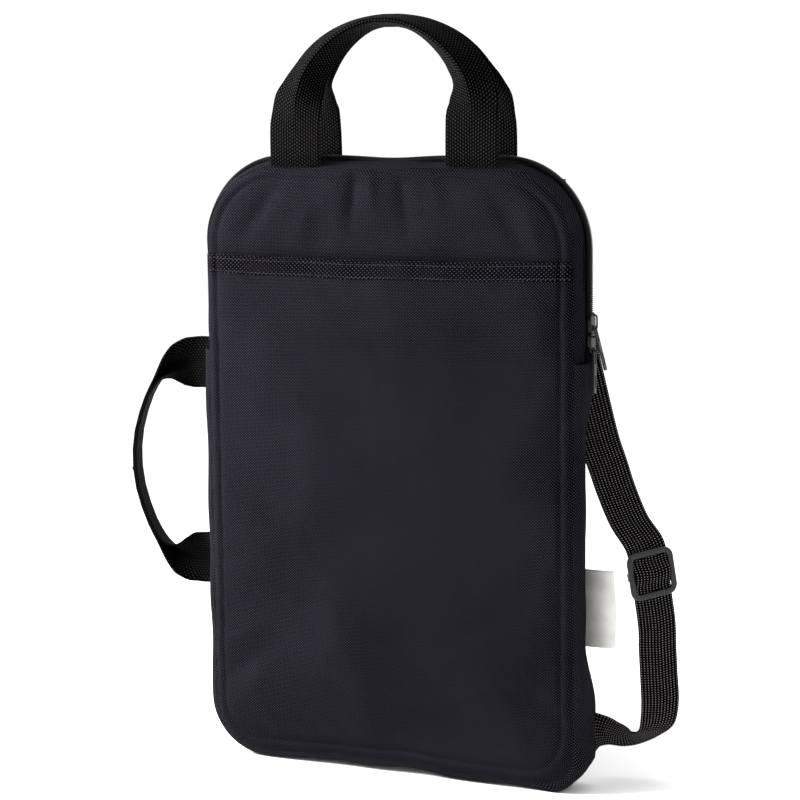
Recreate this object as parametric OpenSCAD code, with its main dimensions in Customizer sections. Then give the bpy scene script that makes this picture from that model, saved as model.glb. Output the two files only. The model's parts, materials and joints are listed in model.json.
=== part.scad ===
// Slim upright soft case for drum sticks, standing on its base.
// +Z is up, the front faces -Y, and the origin is the centre of the base.

/* [Body] */
// Width across the side walls
body_w = 290; // [270:1:300]
// Height from the base to the top of the zip coil
body_h = 438; // [425:1:450]
// Depth between the outer faces of the front and back panels
body_d = 34; // [34:1:38]
// Radius of the panels' top corners
top_corner_r = 55; // [45:1:60]
// Radius of the panels' bottom corners
bottom_corner_r = 35; // [28:1:42]
// How far the side walls stand out beyond the panel seams
wall_out = 7; // [7:0.5:8]

/* [Layers] */
// Thickness of the outer fabric
fabric_t = 1; // [0.8:0.1:1]
// Thickness of the foam padding
foam_t = 3; // [2:0.5:3]
// Thickness of the lining
lining_t = 0.6; // [0.4:0.1:0.6]
// Thickness of the side wall and the zip strips
wall_t = 1.2; // [1:0.1:1.4]

/* [Zip and flap] */
// Height of the zip's lower ends on both sides
zip_end_z = 300; // [290:1:305]
// Height of the fold line that the front flap opens about
fold_z = 369; // [367:1:372]
// Clear gap left between the parts that meet at the fold line
fold_gap = 0.8; // [0.6:0.1:1]
// Height of the lower slider's middle
lower_slider_z = 312; // [310:1:313]
// Height of the upper slider's middle
upper_slider_z = 327; // [326:1:330]
// Angle that the upper slider's pull leans out at rest
upper_pull_lean = 15; // [14:1:20]

/* [Pocket and sleeves] */
// Clear depth of the front pocket
pocket_gap = 5; // [4.5:0.5:6]
// Height of the pocket's mouth
pocket_top_z = 368; // [350:1:368]
// Width of the binding tape on the pocket's mouth
binding_w = 12; // [8:1:14]
// Height of the stick sleeves' top edge
sleeve_top_z = 225; // [150:5:260]
// Half the overall width of the four stick sleeves
sleeve_half_w = 124; // [112:4:124]

/* [Handles] */
// Width of the handle webbing
handle_web_w = 38; // [36:1:40]
// Thickness of one layer of handle webbing
handle_web_t = 1.4; // [1.2:0.1:1.6]
// Height of the middle between the side handle's two legs
side_handle_z = 212.2; // [210:0.2:230]

/* [Shoulder strap] */
// Width of the strap webbing
strap_w = 30; // [28:1:30]
// Thickness of one layer of strap webbing
strap_t = 1.6; // [1.2:0.1:1.6]
// Height of the tri-glide along the strap
glide_z = 150.5; // [145:0.5:151]
// Overall width of the tri-glide
glide_w = 37; // [36:0.5:38]
// Overall length of the tri-glide along the strap
glide_len = 33; // [28:1:33]

/* [Hidden] */
$fn = 96;

half_d = body_d / 2;
seam_x = body_w / 2 - wall_out;
seam_bottom = wall_out;
seam_top = body_h - wall_out;
top_flat = 2 * (seam_x - top_corner_r);
bottom_flat = 2 * (seam_x - bottom_corner_r);
fold_lo = fold_z - fold_gap / 2;
fold_hi = fold_z + fold_gap / 2;
foam_y = half_d - fabric_t;
lining_y = foam_y - foam_t;
inner_y = lining_y - lining_t;

// Heights above the seam line (n) and distances from the middle (y) of the zip's parts
strip_n = 6.2;
strip_edge_y = 6.2;
strip_bend_y = 8;
tape_n = 4.4;
tape_t = 0.6;
coil_n = 4.6;
coil_top_n = wall_out;
coil_outer_y = 3.1;
coil_inner_y = 0.7;
tab_h = 6;
zip_start_z = zip_end_z + tab_h;

// Sliders and pulls
slider_len = 13;
slider_half_w = 4.75;
plate_t = 1;
lower_plate_n = 2.6;
upper_plate_n = coil_top_n + 0.3;
bridge_top_n = upper_plate_n + plate_t + 3;
bridge_half_y = 0.9;
pivot_n = upper_plate_n + plate_t + 1;
pivot_drop = 3;
pull_len = 30;
pull_half_w = 2.3;

// Pocket
pocket_y = half_d + pocket_gap + fabric_t;

// Handle routes: distance from the handle's middle along the seam, and height above the seam
top_handle_route = [[66, 0], [66, 14], [66, 30], [65.5, 45], [61, 60], [52.5, 73], [41, 84],
    [27.5, 92.5], [13.5, 97.5], [0, 99]];
side_handle_route = [[73, 0], [73, 14], [73.5, 27], [73, 38], [69.5, 48], [62, 57.5], [50, 66],
    [35, 72.5], [17.5, 77.5], [0, 79]];
// How far the webbing is folded in half at each point of a route: 0 is flat, 1 is folded
top_handle_fold = [0, 0, 0.05, 0.22, 0.5, 0.6, 0.7, 0.8, 0.88, 0.9];
side_handle_fold = [0, 0, 0.08, 0.4, 0.75, 0.95, 1, 1, 1, 1];
handle_seam_y = 18;
folded_w = 18.5;
folded_t = 3.2;
grip_y = folded_w / 2 + 0.5;

// Strap: the ring behind the top corner, and the straight stretch that the tri-glide is on
ring_pos = [105, 29, 392];
ring_t = 3;
ring_bar = 3.5;
glide_top = [174.4, 29.7, 169];
glide_bottom = [182.4, 30.3, 118];
glide_turn = 50;
glide_window = strap_w + 1.4;
glide_lift = strap_t + 0.4;
glide_bar_t = 2.4;
// Doubled webbing from the ring down to the tri-glide: middle of the strap, then its turn
loop_route = [[[105, 29, 380.5], 0], [[108, 31.5, 360], 8], [[114.5, 34, 334], 18],
    [[122.5, 35.4, 301], 30], [[130.5, 35.6, 270], 38], [[138.5, 35, 242], 44],
    [[145.5, 34.3, 224], 47], [[152, 33, 207], 49], [[162, 31.6, 186], 50]];
// Single webbing from the tri-glide down to the bend: middle of the strap, then its turn
run_route = [[[183.7, 29.3, 98], 50], [[185, 28.6, 78], 50]];
// The soft diagonal fold and the run to the rear seam: middle, then the direction of its width
tail_route = [[[186, 28.3, 60], [0.65, 0.76, -0.03]], [[183.9, 29, 44.5], [0.54, 0.83, -0.17]],
    [[177.6, 30, 36.6], [0.1, 0.95, -0.39]], [[168.2, 30, 32.8], [-0.31, 0.84, -0.56]],
    [[159.5, 28.5, 32.8], [-0.33, 0.7, -0.7]], [[151.5, 25.8, 34.8], [-0.28, 0.6, -0.76]],
    [[145, 22, 36], [-0.18, 0.4, -0.88]], [[139.6, 18.8, 36], [0, 0, -1]]];

function unit(v) = v / norm(v);
function mix(a, b, s) = a + (b - a) * s;
function square_to(w, t) = unit(w - t * (w * t));
function turned(angle) = [cos(angle), sin(angle), 0];
glide_t = unit(glide_top - glide_bottom);
glide_dir = square_to(turned(glide_turn), glide_t);
glide_n = cross(glide_dir, glide_t);
glide_pos = mix(glide_bottom, glide_top,
    (glide_z - glide_bottom[2]) / (glide_top[2] - glide_bottom[2]));

// Seam outline of the panels, grown outwards by grow, kept between two heights
module panel_shape(grow, z_lo, z_hi) {
    half_w = seam_x + grow;
    low = seam_bottom - grow;
    high = seam_top + grow;
    top_r = top_corner_r + grow;
    low_r = bottom_corner_r + grow;
    intersection() {
        union() {
            translate([-half_w, low + low_r]) square([2 * half_w, high - low - top_r - low_r]);
            translate([-(half_w - top_r), high - top_r]) square([2 * (half_w - top_r), top_r]);
            translate([-(half_w - low_r), low]) square([2 * (half_w - low_r), low_r]);
            for (side = [-1, 1]) {
                translate([side * (half_w - top_r), high - top_r]) circle(top_r);
                translate([side * (half_w - low_r), low + low_r]) circle(low_r);
            }
        }
        translate([-body_w, z_lo]) square([2 * body_w, z_hi - z_lo]);
    }
}

// Upright sheet whose rear face is at back_y
module upright(back_y, t) {
    translate([0, back_y, 0]) rotate([90, 0, 0]) linear_extrude(t) children();
}

// A wall section drawn as height above the seam and Y, run up both sides
module along_sides(z_lo, z_hi) {
    for (side = [0, 1])
        mirror([side, 0, 0]) translate([seam_x, 0, z_lo]) linear_extrude(z_hi - z_lo) children();
}

// The same section run over the top and both top corners
module over_top(flat, corner_r, level) {
    translate([flat / 2, 0, level]) rotate([0, -90, 0]) linear_extrude(flat) children();
    for (side = [0, 1])
        mirror([side, 0, 0]) translate([flat / 2, 0, level - corner_r]) rotate([90, 0, 0])
            rotate_extrude(angle = 90) translate([corner_r, 0]) mirror([0, 1]) children();
}

module along_zip(z_lo, z_hi) {
    if (z_hi > seam_top) {
        along_sides(z_lo, seam_top - top_corner_r) children();
        over_top(top_flat, top_corner_r, seam_top) children();
    } else {
        along_sides(z_lo, z_hi) children();
    }
}

module along_base(z_hi) {
    along_sides(seam_bottom + bottom_corner_r, z_hi) children();
    mirror([0, 0, 1]) over_top(bottom_flat, bottom_corner_r, -seam_bottom) children();
}

// Section of the front zip strip, from the seam to the zip tape
module strip_section() {
    polygon([[0, -half_d], [4.4, -(half_d - 4.5)], [strip_n, -strip_bend_y],
        [strip_n, -strip_edge_y], [strip_n - wall_t, -strip_edge_y],
        [strip_n - wall_t, -strip_bend_y], [3.3, -(half_d - 5)], [0, -(half_d - 1.4)]]);
}

module tape_section() {
    translate([tape_n, -strip_bend_y]) square([tape_t, strip_bend_y - coil_outer_y]);
}

module coil_section() {
    translate([coil_n, -coil_outer_y])
        square([coil_top_n - coil_n, coil_outer_y - coil_inner_y]);
}

module gusset_section() {
    half_flat = half_d - 4;
    polygon([[0, -half_d], [wall_out, -half_flat], [wall_out, half_flat], [0, half_d],
        [0, half_d - 1.4], [wall_out - wall_t, half_flat - 0.8],
        [wall_out - wall_t, -(half_flat - 0.8)], [0, -(half_d - 1.4)]]);
}

// Bound seam allowance that lies on the lining
module binding_section() {
    translate([-6.5, -inner_y]) square([6, 1.6]);
}

module back_panel() {
    color("#26262b") upright(half_d, fabric_t) panel_shape(0, 0, body_h);
}
module back_foam() {
    color("#8c8c8c") upright(foam_y, foam_t) panel_shape(-4, 0, body_h);
}
module back_lining() {
    color("#4a4a50") upright(lining_y, lining_t) panel_shape(-0.5, 0, body_h);
}

module front_layer(y, t, grow, z_lo, z_hi) {
    upright(-y + t, t) panel_shape(grow, z_lo, z_hi);
}
module front_panel_lower() {
    color("#2a292f") front_layer(half_d, fabric_t, 0, 0, fold_lo);
}
module front_foam_lower() {
    color("#8c8c8c") front_layer(foam_y, foam_t, -4, 0, fold_lo);
}
module front_lining_lower() {
    color("#4a4a50") front_layer(lining_y, lining_t, -0.5, 0, fold_lo);
}
module front_panel_upper() {
    color("#2a292f") front_layer(half_d, fabric_t, 0, fold_hi, body_h);
}
module front_foam_upper() {
    color("#8c8c8c") front_layer(foam_y, foam_t, -4, fold_hi, body_h);
}
module front_lining_upper() {
    color("#4a4a50") front_layer(lining_y, lining_t, -0.5, fold_hi, body_h);
}

module lower_gusset() {
    color("#202024") along_base(zip_end_z) gusset_section();
}

module rear_zip_strip() {
    color("#202024") along_zip(zip_end_z, body_h) mirror([0, 1]) strip_section();
}
module rear_zip_tape() {
    color("#1c1c20") along_zip(zip_start_z, body_h) mirror([0, 1]) tape_section();
}
module rear_zip_coil() {
    color("#18181b") along_zip(zip_start_z, body_h) mirror([0, 1]) coil_section();
}
module front_zip_strip_lower() {
    color("#202024") along_zip(zip_end_z, fold_lo) strip_section();
}
module front_zip_tape_lower() {
    color("#1c1c20") along_zip(zip_start_z, fold_lo) tape_section();
}
module front_zip_coil_lower() {
    color("#18181b") along_zip(zip_start_z, fold_lo) coil_section();
}
module front_zip_strip_upper() {
    color("#202024") along_zip(fold_hi, body_h) strip_section();
}
module front_zip_tape_upper() {
    color("#1c1c20") along_zip(fold_hi, body_h) tape_section();
}
module front_zip_coil_upper() {
    color("#18181b") along_zip(fold_hi, body_h) coil_section();
}

// Folded fabric tabs that close the two lower ends of the zip
module zip_end_tabs() {
    color("#202024") for (side = [0, 1])
        mirror([side, 0, 0]) translate([seam_x + tape_n, -strip_edge_y, zip_end_z])
            cube([wall_out - tape_n, 2 * strip_edge_y, tab_h]);
}

module rear_seam_binding() {
    color("#1a1a1d") {
        along_zip(seam_bottom + bottom_corner_r, body_h) mirror([0, 1]) binding_section();
        along_base(seam_bottom + bottom_corner_r + 1) mirror([0, 1]) binding_section();
    }
}
module front_seam_binding_lower() {
    color("#1a1a1d") along_base(fold_lo) binding_section();
}
module front_seam_binding_upper() {
    color("#1a1a1d") along_zip(fold_hi, body_h) binding_section();
}

// Slip pocket: a sheet in front of the panel, with its edges turned back to the seam
module pocket_panel() {
    color("#2a292f") {
        upright(-pocket_y + fabric_t, fabric_t) panel_shape(0, 0, pocket_top_z);
        upright(-half_d, pocket_gap) difference() {
            panel_shape(0, 0, pocket_top_z);
            panel_shape(-1, 0, body_h);
        }
    }
}
// Tape over the pocket's top edge
module pocket_binding() {
    cap = 0.4;
    color("#18181b") {
        upright(-pocket_y, 0.8) panel_shape(0, pocket_top_z - binding_w, pocket_top_z + cap);
        upright(-pocket_y + fabric_t, fabric_t) panel_shape(0, pocket_top_z, pocket_top_z + cap);
    }
}

sleeve_y = 4;
sleeve_t = 0.8;
sleeve_low_z = seam_bottom + 17;
module stick_sleeves() {
    color("#4a4a50") {
        translate([-sleeve_half_w, -sleeve_y, sleeve_low_z])
            cube([2 * sleeve_half_w, sleeve_t, sleeve_top_z - sleeve_low_z]);
        for (k = [0:4])
            translate([-sleeve_half_w + k * (2 * sleeve_half_w - sleeve_t) / 4,
                -sleeve_y + sleeve_t, sleeve_low_z])
                cube([sleeve_t, inner_y + sleeve_y - sleeve_t, sleeve_top_z - sleeve_low_z]);
    }
}
module sleeve_binding() {
    color("#18181b") translate([-sleeve_half_w, -sleeve_y - sleeve_t, sleeve_top_z - 8])
        cube([2 * sleeve_half_w, sleeve_t, 8]);
}

// Blank folded label sewn into the rear seam
module side_label() {
    color("#aca9a5") translate([seam_x + 0.4, half_d, 98]) cube([17.5, 0.6, 55]);
}

// Solid through a row of four-cornered rings
module ring_loft(rings) {
    count = len(rings);
    points = [for (ring = rings) each ring];
    walls = [for (i = [0:count - 2], k = [0:3], half = [0, 1])
        let (a = 4 * i + k, b = 4 * i + (k + 1) % 4)
        half == 0 ? [a, b, b + 4] : [a, b + 4, a + 4]];
    last = 4 * (count - 1);
    polyhedron(points, concat([[3, 2, 1, 0]], walls, [[last, last + 1, last + 2, last + 3]]),
        convexity = 6);
}

// Ring of a flat strap: half width along side, half thickness across
function strap_ring_at(c, side, t, thick) = let (n = unit(cross(side, t)),
    a = side * strap_w / 2, b = n * thick / 2) [c - a - b, c + a - b, c + a + b, c - a + b];

function tangent(c, i) = unit(c[min(i + 1, len(c) - 1)] - c[max(i - 1, 0)]);

// Handle: flat legs that fold in half towards the grip. Route in X and Z, thickness in Y.
module handle(route, fold) {
    last = len(route) - 1;
    middle = [for (i = [0:last]) [-route[i][0], 0, route[i][1]],
        for (i = [last - 1:-1:0]) [route[i][0], 0, route[i][1]]];
    folds = [for (i = [0:last]) fold[i], for (i = [last - 1:-1:0]) fold[i]];
    ring_loft([for (i = [0:2 * last])
        let (t = tangent(middle, i), n = [t[2], 0, -t[0]],
            a = n * mix(handle_web_w, folded_t, folds[i]) / 2,
            b = [0, mix(handle_web_t, folded_w, folds[i]) / 2, 0],
            c = middle[i] - [0, mix(handle_seam_y, grip_y, folds[i]), 0])
        [c - a - b, c + a - b, c + a + b, c - a + b]]);
}

// Row of stitches that holds the fold closed at the middle of the grip
module grip_stitching(out) {
    for (k = [-3:3])
        translate([6 * k - 1.5, -(grip_y + folded_w / 2) - 0.4, out + folded_t / 2 - 3.6])
            cube([3, 0.4, 0.6]);
}

module place_side_handle() {
    translate([-seam_x - 1, 0, side_handle_z]) rotate([0, -90, 0]) mirror([0, 1, 0]) children();
}

handle_base = seam_top + 0.5;
top_grip_out = top_handle_route[9][1] + 1.8;
side_grip_out = side_handle_route[9][1];
module front_handle_webbing() {
    color("#1d1b1e") translate([0, 0, handle_base]) handle(top_handle_route, top_handle_fold);
}
module front_handle_stitching() {
    color("#55535a") translate([0, 0, handle_base]) grip_stitching(top_grip_out - 1);
}
module rear_handle_webbing() {
    color("#1d1b1e") translate([0, 0, handle_base]) mirror([0, 1, 0]) handle(top_handle_route, top_handle_fold);
}
module rear_handle_stitching() {
    color("#55535a") translate([0, 0, handle_base]) mirror([0, 1, 0])
        grip_stitching(top_grip_out - 1);
}
module side_handle_webbing() {
    color("#1d1b1e") place_side_handle() handle(side_handle_route, side_handle_fold);
}
module side_handle_stitching() {
    color("#55535a") place_side_handle() grip_stitching(side_grip_out - 0.6);
}

// Zip slider: two plates round the coils, joined by a post between them
module slider_body() {
    outline = [[-4.4, -6.5], [4.4, -6.5], [slider_half_w, 1], [3.6, 5.2], [1.6, 6.5],
        [-1.6, 6.5], [-3.6, 5.2], [-slider_half_w, 1]];
    for (n = [lower_plate_n, upper_plate_n])
        translate([n, 0, 0]) rotate([90, 0, 90]) linear_extrude(plate_t) polygon(outline);
    translate([lower_plate_n + plate_t, -0.5, 2])
        cube([upper_plate_n - lower_plate_n - plate_t, 1, 3.5]);
    for (side = [0, 1])
        mirror([0, side, 0]) translate([tape_n + tape_t + 0.4, 3.5, -6])
            cube([upper_plate_n - tape_n - tape_t - 0.4, 0.9, 7]);
}
// Wire-like loop that carries the pull
module slider_bridge() {
    base_n = upper_plate_n + plate_t;
    rotate([90, 0, 0]) linear_extrude(2 * bridge_half_y, center = true) difference() {
        polygon([[base_n, -5.4], [bridge_top_n - 0.9, -5], [bridge_top_n, -4.1],
            [bridge_top_n, 4.1], [bridge_top_n - 0.9, 5], [base_n, 5.4]]);
        polygon([[base_n - 1, -4.4], [base_n, -4.4], [bridge_top_n - 1.3, -4.1],
            [bridge_top_n - 1, -3.8], [bridge_top_n - 1, 3.8], [bridge_top_n - 1.3, 4.1],
            [base_n, 4.4], [base_n - 1, 4.4]]);
    }
}
// Pull: two arms astride the bridge, a solid middle and an open lower end
module pull_tab(lean) {
    translate([pivot_n, 0, -pivot_drop]) rotate([0, -lean, 0]) {
        rotate([90, 0, 90]) linear_extrude(1, center = true) difference() {
            union() {
                translate([-pull_half_w, -pull_len + pull_half_w])
                    square([2 * pull_half_w, pull_len - pull_half_w]);
                translate([0, -pull_len + pull_half_w]) circle(pull_half_w);
            }
            translate([-1.2, -11]) square([2.4, 11.5]);
            translate([-1, -26.5]) square([2, 9]);
        }
        rotate([90, 0, 0]) cylinder(h = 2 * pull_half_w, r = 0.5, center = true);
    }
}
module on_zip(z) {
    translate([seam_x, 0, z]) children();
}
module lower_slider_body() {
    color("#3a3a3e") on_zip(lower_slider_z) mirror([0, 0, 1]) slider_body();
}
module lower_slider_bridge() {
    color("#3a3a3e") on_zip(lower_slider_z) slider_bridge();
}
module lower_pull_tab() {
    color("#3a3a3e") on_zip(lower_slider_z) pull_tab(0);
}
module upper_slider_body() {
    color("#3a3a3e") on_zip(upper_slider_z) slider_body();
}
module upper_slider_bridge() {
    color("#3a3a3e") on_zip(upper_slider_z) slider_bridge();
}
module upper_pull_tab() {
    color("#3a3a3e") on_zip(upper_slider_z) pull_tab(upper_pull_lean);
}

// Shoulder strap
module strap_run(sections, thick) {
    c = [for (s = sections) s[0]];
    ring_loft([for (i = [0:len(c) - 1])
        let (t = tangent(c, i), side = square_to(sections[i][1], t))
        strap_ring_at(c[i], side, t, thick)]);
}
function turned_route(route) = [for (s = route) [s[0], turned(s[1])]];
module strap_loop() {
    bar_z = ring_pos[2] - 9.5;
    color("#1d1b1e") {
        strap_run(concat(turned_route(loop_route),
            [[glide_top, glide_dir], [glide_pos, glide_dir]]), 2 * strap_t);
        translate([ring_pos[0] - strap_w / 2, ring_pos[1], bar_z]) rotate([90, 0, 90])
            linear_extrude(strap_w) difference() {
                translate([-ring_t / 2 - strap_t, -2]) square([ring_t + 2 * strap_t, 7.1]);
                translate([-ring_t / 2, 0]) square([ring_t, ring_bar]);
            }
    }
}
module strap_webbing() {
    color("#1d1b1e") strap_run(concat([[glide_pos, glide_dir], [glide_bottom, glide_dir]],
        turned_route(run_route), tail_route), strap_t);
}
// Close stitching across the doubled strap, just below the ring
module strap_bartack() {
    color("#55535a") translate([ring_pos[0] - 12, ring_pos[1] - ring_t / 2 - strap_t - 0.4,
        ring_pos[2] - 11.2]) cube([24, 0.4, 2.4]);
}
module ring_outline(w, h, r) {
    square([w - 2 * r, h], center = true);
    square([w, h - 2 * r], center = true);
    for (sx = [-1, 1], sz = [-1, 1])
        translate([sx * (w / 2 - r), sz * (h / 2 - r)]) circle(r);
}
module strap_ring() {
    color("#2e2e33") translate(ring_pos) rotate([90, 0, 0])
        linear_extrude(ring_t, center = true) difference() {
            ring_outline(strap_w + 8, 19, 3.5);
            ring_outline(strap_w + 1, 19 - 2 * ring_bar, 1);
        }
}
// Tab that holds the ring: a fold round its top bar, and a leaf sewn to the back panel
module strap_top_tab() {
    gap = 0.4;
    top_bar_z = ring_pos[2] + 6;
    leaf_y = half_d;
    color("#1d1b1e") {
        translate([ring_pos[0] - strap_w / 2, ring_pos[1], top_bar_z]) rotate([90, 0, 90])
            linear_extrude(strap_w) difference() {
                union() {
                    translate([-ring_t / 2 - gap - strap_t, -gap - strap_t])
                        square([ring_t + 2 * (gap + strap_t), ring_bar + 2 * (gap + strap_t)]);
                    polygon([[-4.2, 3.5], [-ring_t / 2 - gap, 5.5], [-10.4, 13.5],
                        [-12, 13.5], [-12, 10.5]]);
                }
                translate([-ring_t / 2 - gap, -gap]) square([ring_t + 2 * gap, ring_bar + 2 * gap]);
            }
        translate([ring_pos[0] - strap_w / 2, leaf_y, top_bar_z + 4])
            cube([strap_w, strap_t, 14]);
    }
}

// Tri-glide: front bars at both ends, a middle bar behind the strap, and two side bars
module tri_glide() {
    side_bar = (glide_w - glide_window) / 2;
    front_y = -glide_lift - glide_bar_t;
    color("#2e2e33")
        multmatrix([[glide_dir[0], -glide_n[0], glide_t[0], glide_pos[0]],
            [glide_dir[1], -glide_n[1], glide_t[1], glide_pos[1]],
            [glide_dir[2], -glide_n[2], glide_t[2], glide_pos[2]], [0, 0, 0, 1]]) {
            translate([0, front_y + glide_bar_t, 0]) rotate([90, 0, 0])
                linear_extrude(glide_bar_t) difference() {
                    ring_outline(glide_w, glide_len, 4);
                    square([glide_window, glide_len - 13], center = true);
                }
            for (side = [-1, 1])
                translate([side * (glide_w - side_bar) / 2, 0, 0])
                    cube([side_bar, 2 * (glide_lift + glide_bar_t), 8], center = true);
            translate([-glide_w / 2, glide_lift, -3]) cube([glide_w, glide_bar_t, 6]);
        }
}

back_panel();
back_foam();
back_lining();
front_panel_lower();
front_foam_lower();
front_lining_lower();
lower_gusset();
rear_zip_strip();
rear_zip_tape();
rear_zip_coil();
front_zip_strip_lower();
front_zip_tape_lower();
front_zip_coil_lower();
zip_end_tabs();
pocket_panel();
pocket_binding();
stick_sleeves();
sleeve_binding();
rear_seam_binding();
front_seam_binding_lower();
side_label();
strap_top_tab();
front_panel_upper();
front_foam_upper();
front_lining_upper();
front_zip_strip_upper();
front_zip_tape_upper();
front_zip_coil_upper();
front_seam_binding_upper();
front_handle_webbing();
front_handle_stitching();
rear_handle_webbing();
rear_handle_stitching();
side_handle_webbing();
side_handle_stitching();
lower_slider_body();
lower_slider_bridge();
lower_pull_tab();
upper_slider_body();
upper_slider_bridge();
upper_pull_tab();
strap_webbing();
strap_loop();
strap_bartack();
strap_ring();
tri_glide();
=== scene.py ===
import json
import math
import bmesh
import bpy
import numpy as np
from mathutils import Matrix, Vector

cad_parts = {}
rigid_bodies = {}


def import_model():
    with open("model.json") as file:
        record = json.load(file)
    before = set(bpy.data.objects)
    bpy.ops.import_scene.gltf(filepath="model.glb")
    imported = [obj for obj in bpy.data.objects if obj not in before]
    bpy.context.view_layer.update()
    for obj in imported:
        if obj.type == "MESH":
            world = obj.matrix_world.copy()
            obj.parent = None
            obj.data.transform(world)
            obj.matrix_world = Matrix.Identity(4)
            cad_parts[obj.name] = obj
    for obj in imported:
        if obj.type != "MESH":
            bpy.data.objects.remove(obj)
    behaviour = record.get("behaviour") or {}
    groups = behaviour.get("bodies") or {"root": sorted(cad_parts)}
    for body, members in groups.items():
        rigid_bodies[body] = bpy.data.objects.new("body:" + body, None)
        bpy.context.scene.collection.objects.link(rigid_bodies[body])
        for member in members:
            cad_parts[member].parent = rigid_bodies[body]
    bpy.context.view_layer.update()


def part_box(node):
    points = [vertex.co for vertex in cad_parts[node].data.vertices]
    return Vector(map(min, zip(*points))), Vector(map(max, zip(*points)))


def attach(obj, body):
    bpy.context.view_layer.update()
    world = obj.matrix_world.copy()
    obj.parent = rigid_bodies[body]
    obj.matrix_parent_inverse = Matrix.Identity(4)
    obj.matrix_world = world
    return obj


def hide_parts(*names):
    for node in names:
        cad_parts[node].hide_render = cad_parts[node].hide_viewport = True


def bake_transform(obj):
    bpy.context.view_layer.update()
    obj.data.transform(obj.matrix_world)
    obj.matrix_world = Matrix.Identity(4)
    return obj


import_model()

mm = 0.001

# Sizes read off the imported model
panelLow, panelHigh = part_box("back_panel")
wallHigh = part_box("lower_gusset")[1]
body = {
    "seamX": panelHigh.x,
    "seamLow": panelLow.z,
    "seamHigh": panelHigh.z,
    "halfDepth": panelHigh.y,
    "wallOut": wallHigh.x - panelHigh.x,
    "zipEnd": wallHigh.z,
    "mouth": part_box("pocket_panel")[1].z,
    "fold": (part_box("front_panel_lower")[1].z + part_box("front_panel_upper")[0].z) / 2,
    "topRadius": 55 * mm,
    "lowRadius": 35 * mm,
}
seamX, seamLow, seamHigh = body["seamX"], body["seamLow"], body["seamHigh"]
halfDepth, foldZ = body["halfDepth"], body["fold"]


# Mesh helpers
def newPiece(name, verts, faces, material, smooth=True):
    mesh = bpy.data.meshes.new(name)
    mesh.from_pydata([tuple(v) for v in verts], [], faces)
    mesh.update()
    piece = bpy.data.objects.new(name, mesh)
    bpy.context.scene.collection.objects.link(piece)
    mesh.materials.append(material)
    if smooth:
        mesh.polygons.foreach_set("use_smooth", [True] * len(mesh.polygons))
    return piece


# Grid of points [rows][columns] as a mesh, with UVs in metres along rows and columns
def gridPiece(name, grid, material, closeRows=False, closeColumns=False, capEnds=False):
    grid = np.asarray(grid, float)
    rows, columns = grid.shape[:2]
    faces, corners = [], []
    stepR = np.linalg.norm(np.roll(grid, -1, 0) - grid, axis=2).mean(1)
    stepC = np.linalg.norm(np.roll(grid, -1, 1) - grid, axis=2).mean(0)
    along = np.concatenate([[0], np.cumsum(stepR)])
    across = np.concatenate([[0], np.cumsum(stepC)])
    for r in range(rows if closeRows else rows - 1):
        for c in range(columns if closeColumns else columns - 1):
            r2, c2 = (r + 1) % rows, (c + 1) % columns
            faces.append((r * columns + c, r * columns + c2, r2 * columns + c2, r2 * columns + c))
            corners += [(along[r], across[c]), (along[r], across[c + 1]),
                        (along[r + 1], across[c + 1]), (along[r + 1], across[c])]
    if capEnds:
        for r in (0, rows - 1):
            ring = [r * columns + c for c in range(columns)]
            faces.append(ring[::-1] if r == 0 else ring)
            corners += [(0, 0)] * columns
    piece = newPiece(name, grid.reshape(-1, 3), faces, material)
    layer = piece.data.uv_layers.new(name="UVMap")
    layer.data.foreach_set("uv", np.array(corners, np.float32).ravel())
    return piece


# The piece with its modifiers made final
def applied(piece):
    bpy.context.view_layer.update()
    graph = bpy.context.evaluated_depsgraph_get()
    mesh = bpy.data.meshes.new_from_object(piece.evaluated_get(graph), depsgraph=graph)
    piece.modifiers.clear()
    piece.data = mesh
    return piece


def thickened(piece, thickness, offset=0.0):
    solid = piece.modifiers.new("thickness", "SOLIDIFY")
    solid.thickness = thickness
    solid.offset = offset
    solid.use_rim = True
    return applied(piece)


def facedOutwards(piece):
    work = bmesh.new()
    work.from_mesh(piece.data)
    bmesh.ops.recalc_face_normals(work, faces=work.faces)
    work.to_mesh(piece.data)
    work.free()
    return piece


# Several (verts, faces) shapes as one
def joined(parts):
    verts, faces, start = [], [], 0
    for v, f in parts:
        verts += [tuple(p) for p in v]
        faces += [tuple(i + start for i in face) for face in f]
        start += len(v)
    return verts, faces


# Several pieces as one, named anew
def merged(pieces, name):
    bpy.ops.object.select_all(action="DESELECT")
    for piece in pieces:
        piece.select_set(True)
    bpy.context.view_layer.objects.active = pieces[0]
    bpy.ops.object.join()
    pieces[0].name = name
    return pieces[0]


# Round tube along points, as (verts, faces)
def tube(points, radius, sides=8, squash=1.0):
    points = np.asarray(points, float)
    tangents = np.gradient(points, axis=0)
    tangents /= np.linalg.norm(tangents, axis=1)[:, None] + 1e-12
    side = np.cross(tangents[0], (0.31, 0.87, 0.37))
    verts, faces = [], []
    for p, t in zip(points, tangents):
        side = side - t * side.dot(t)
        side /= np.linalg.norm(side)
        up = np.cross(t, side)
        for k in range(sides):
            a = 2 * math.pi * k / sides
            verts.append(p + radius * (math.cos(a) * side + squash * math.sin(a) * up))
    for i in range(len(points) - 1):
        for k in range(sides):
            j = (k + 1) % sides
            faces.append((i * sides + k, i * sides + j, (i + 1) * sides + j, (i + 1) * sides + k))
    faces.append(tuple(range(sides))[::-1])
    faces.append(tuple((len(points) - 1) * sides + k for k in range(sides)))
    return verts, faces


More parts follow.
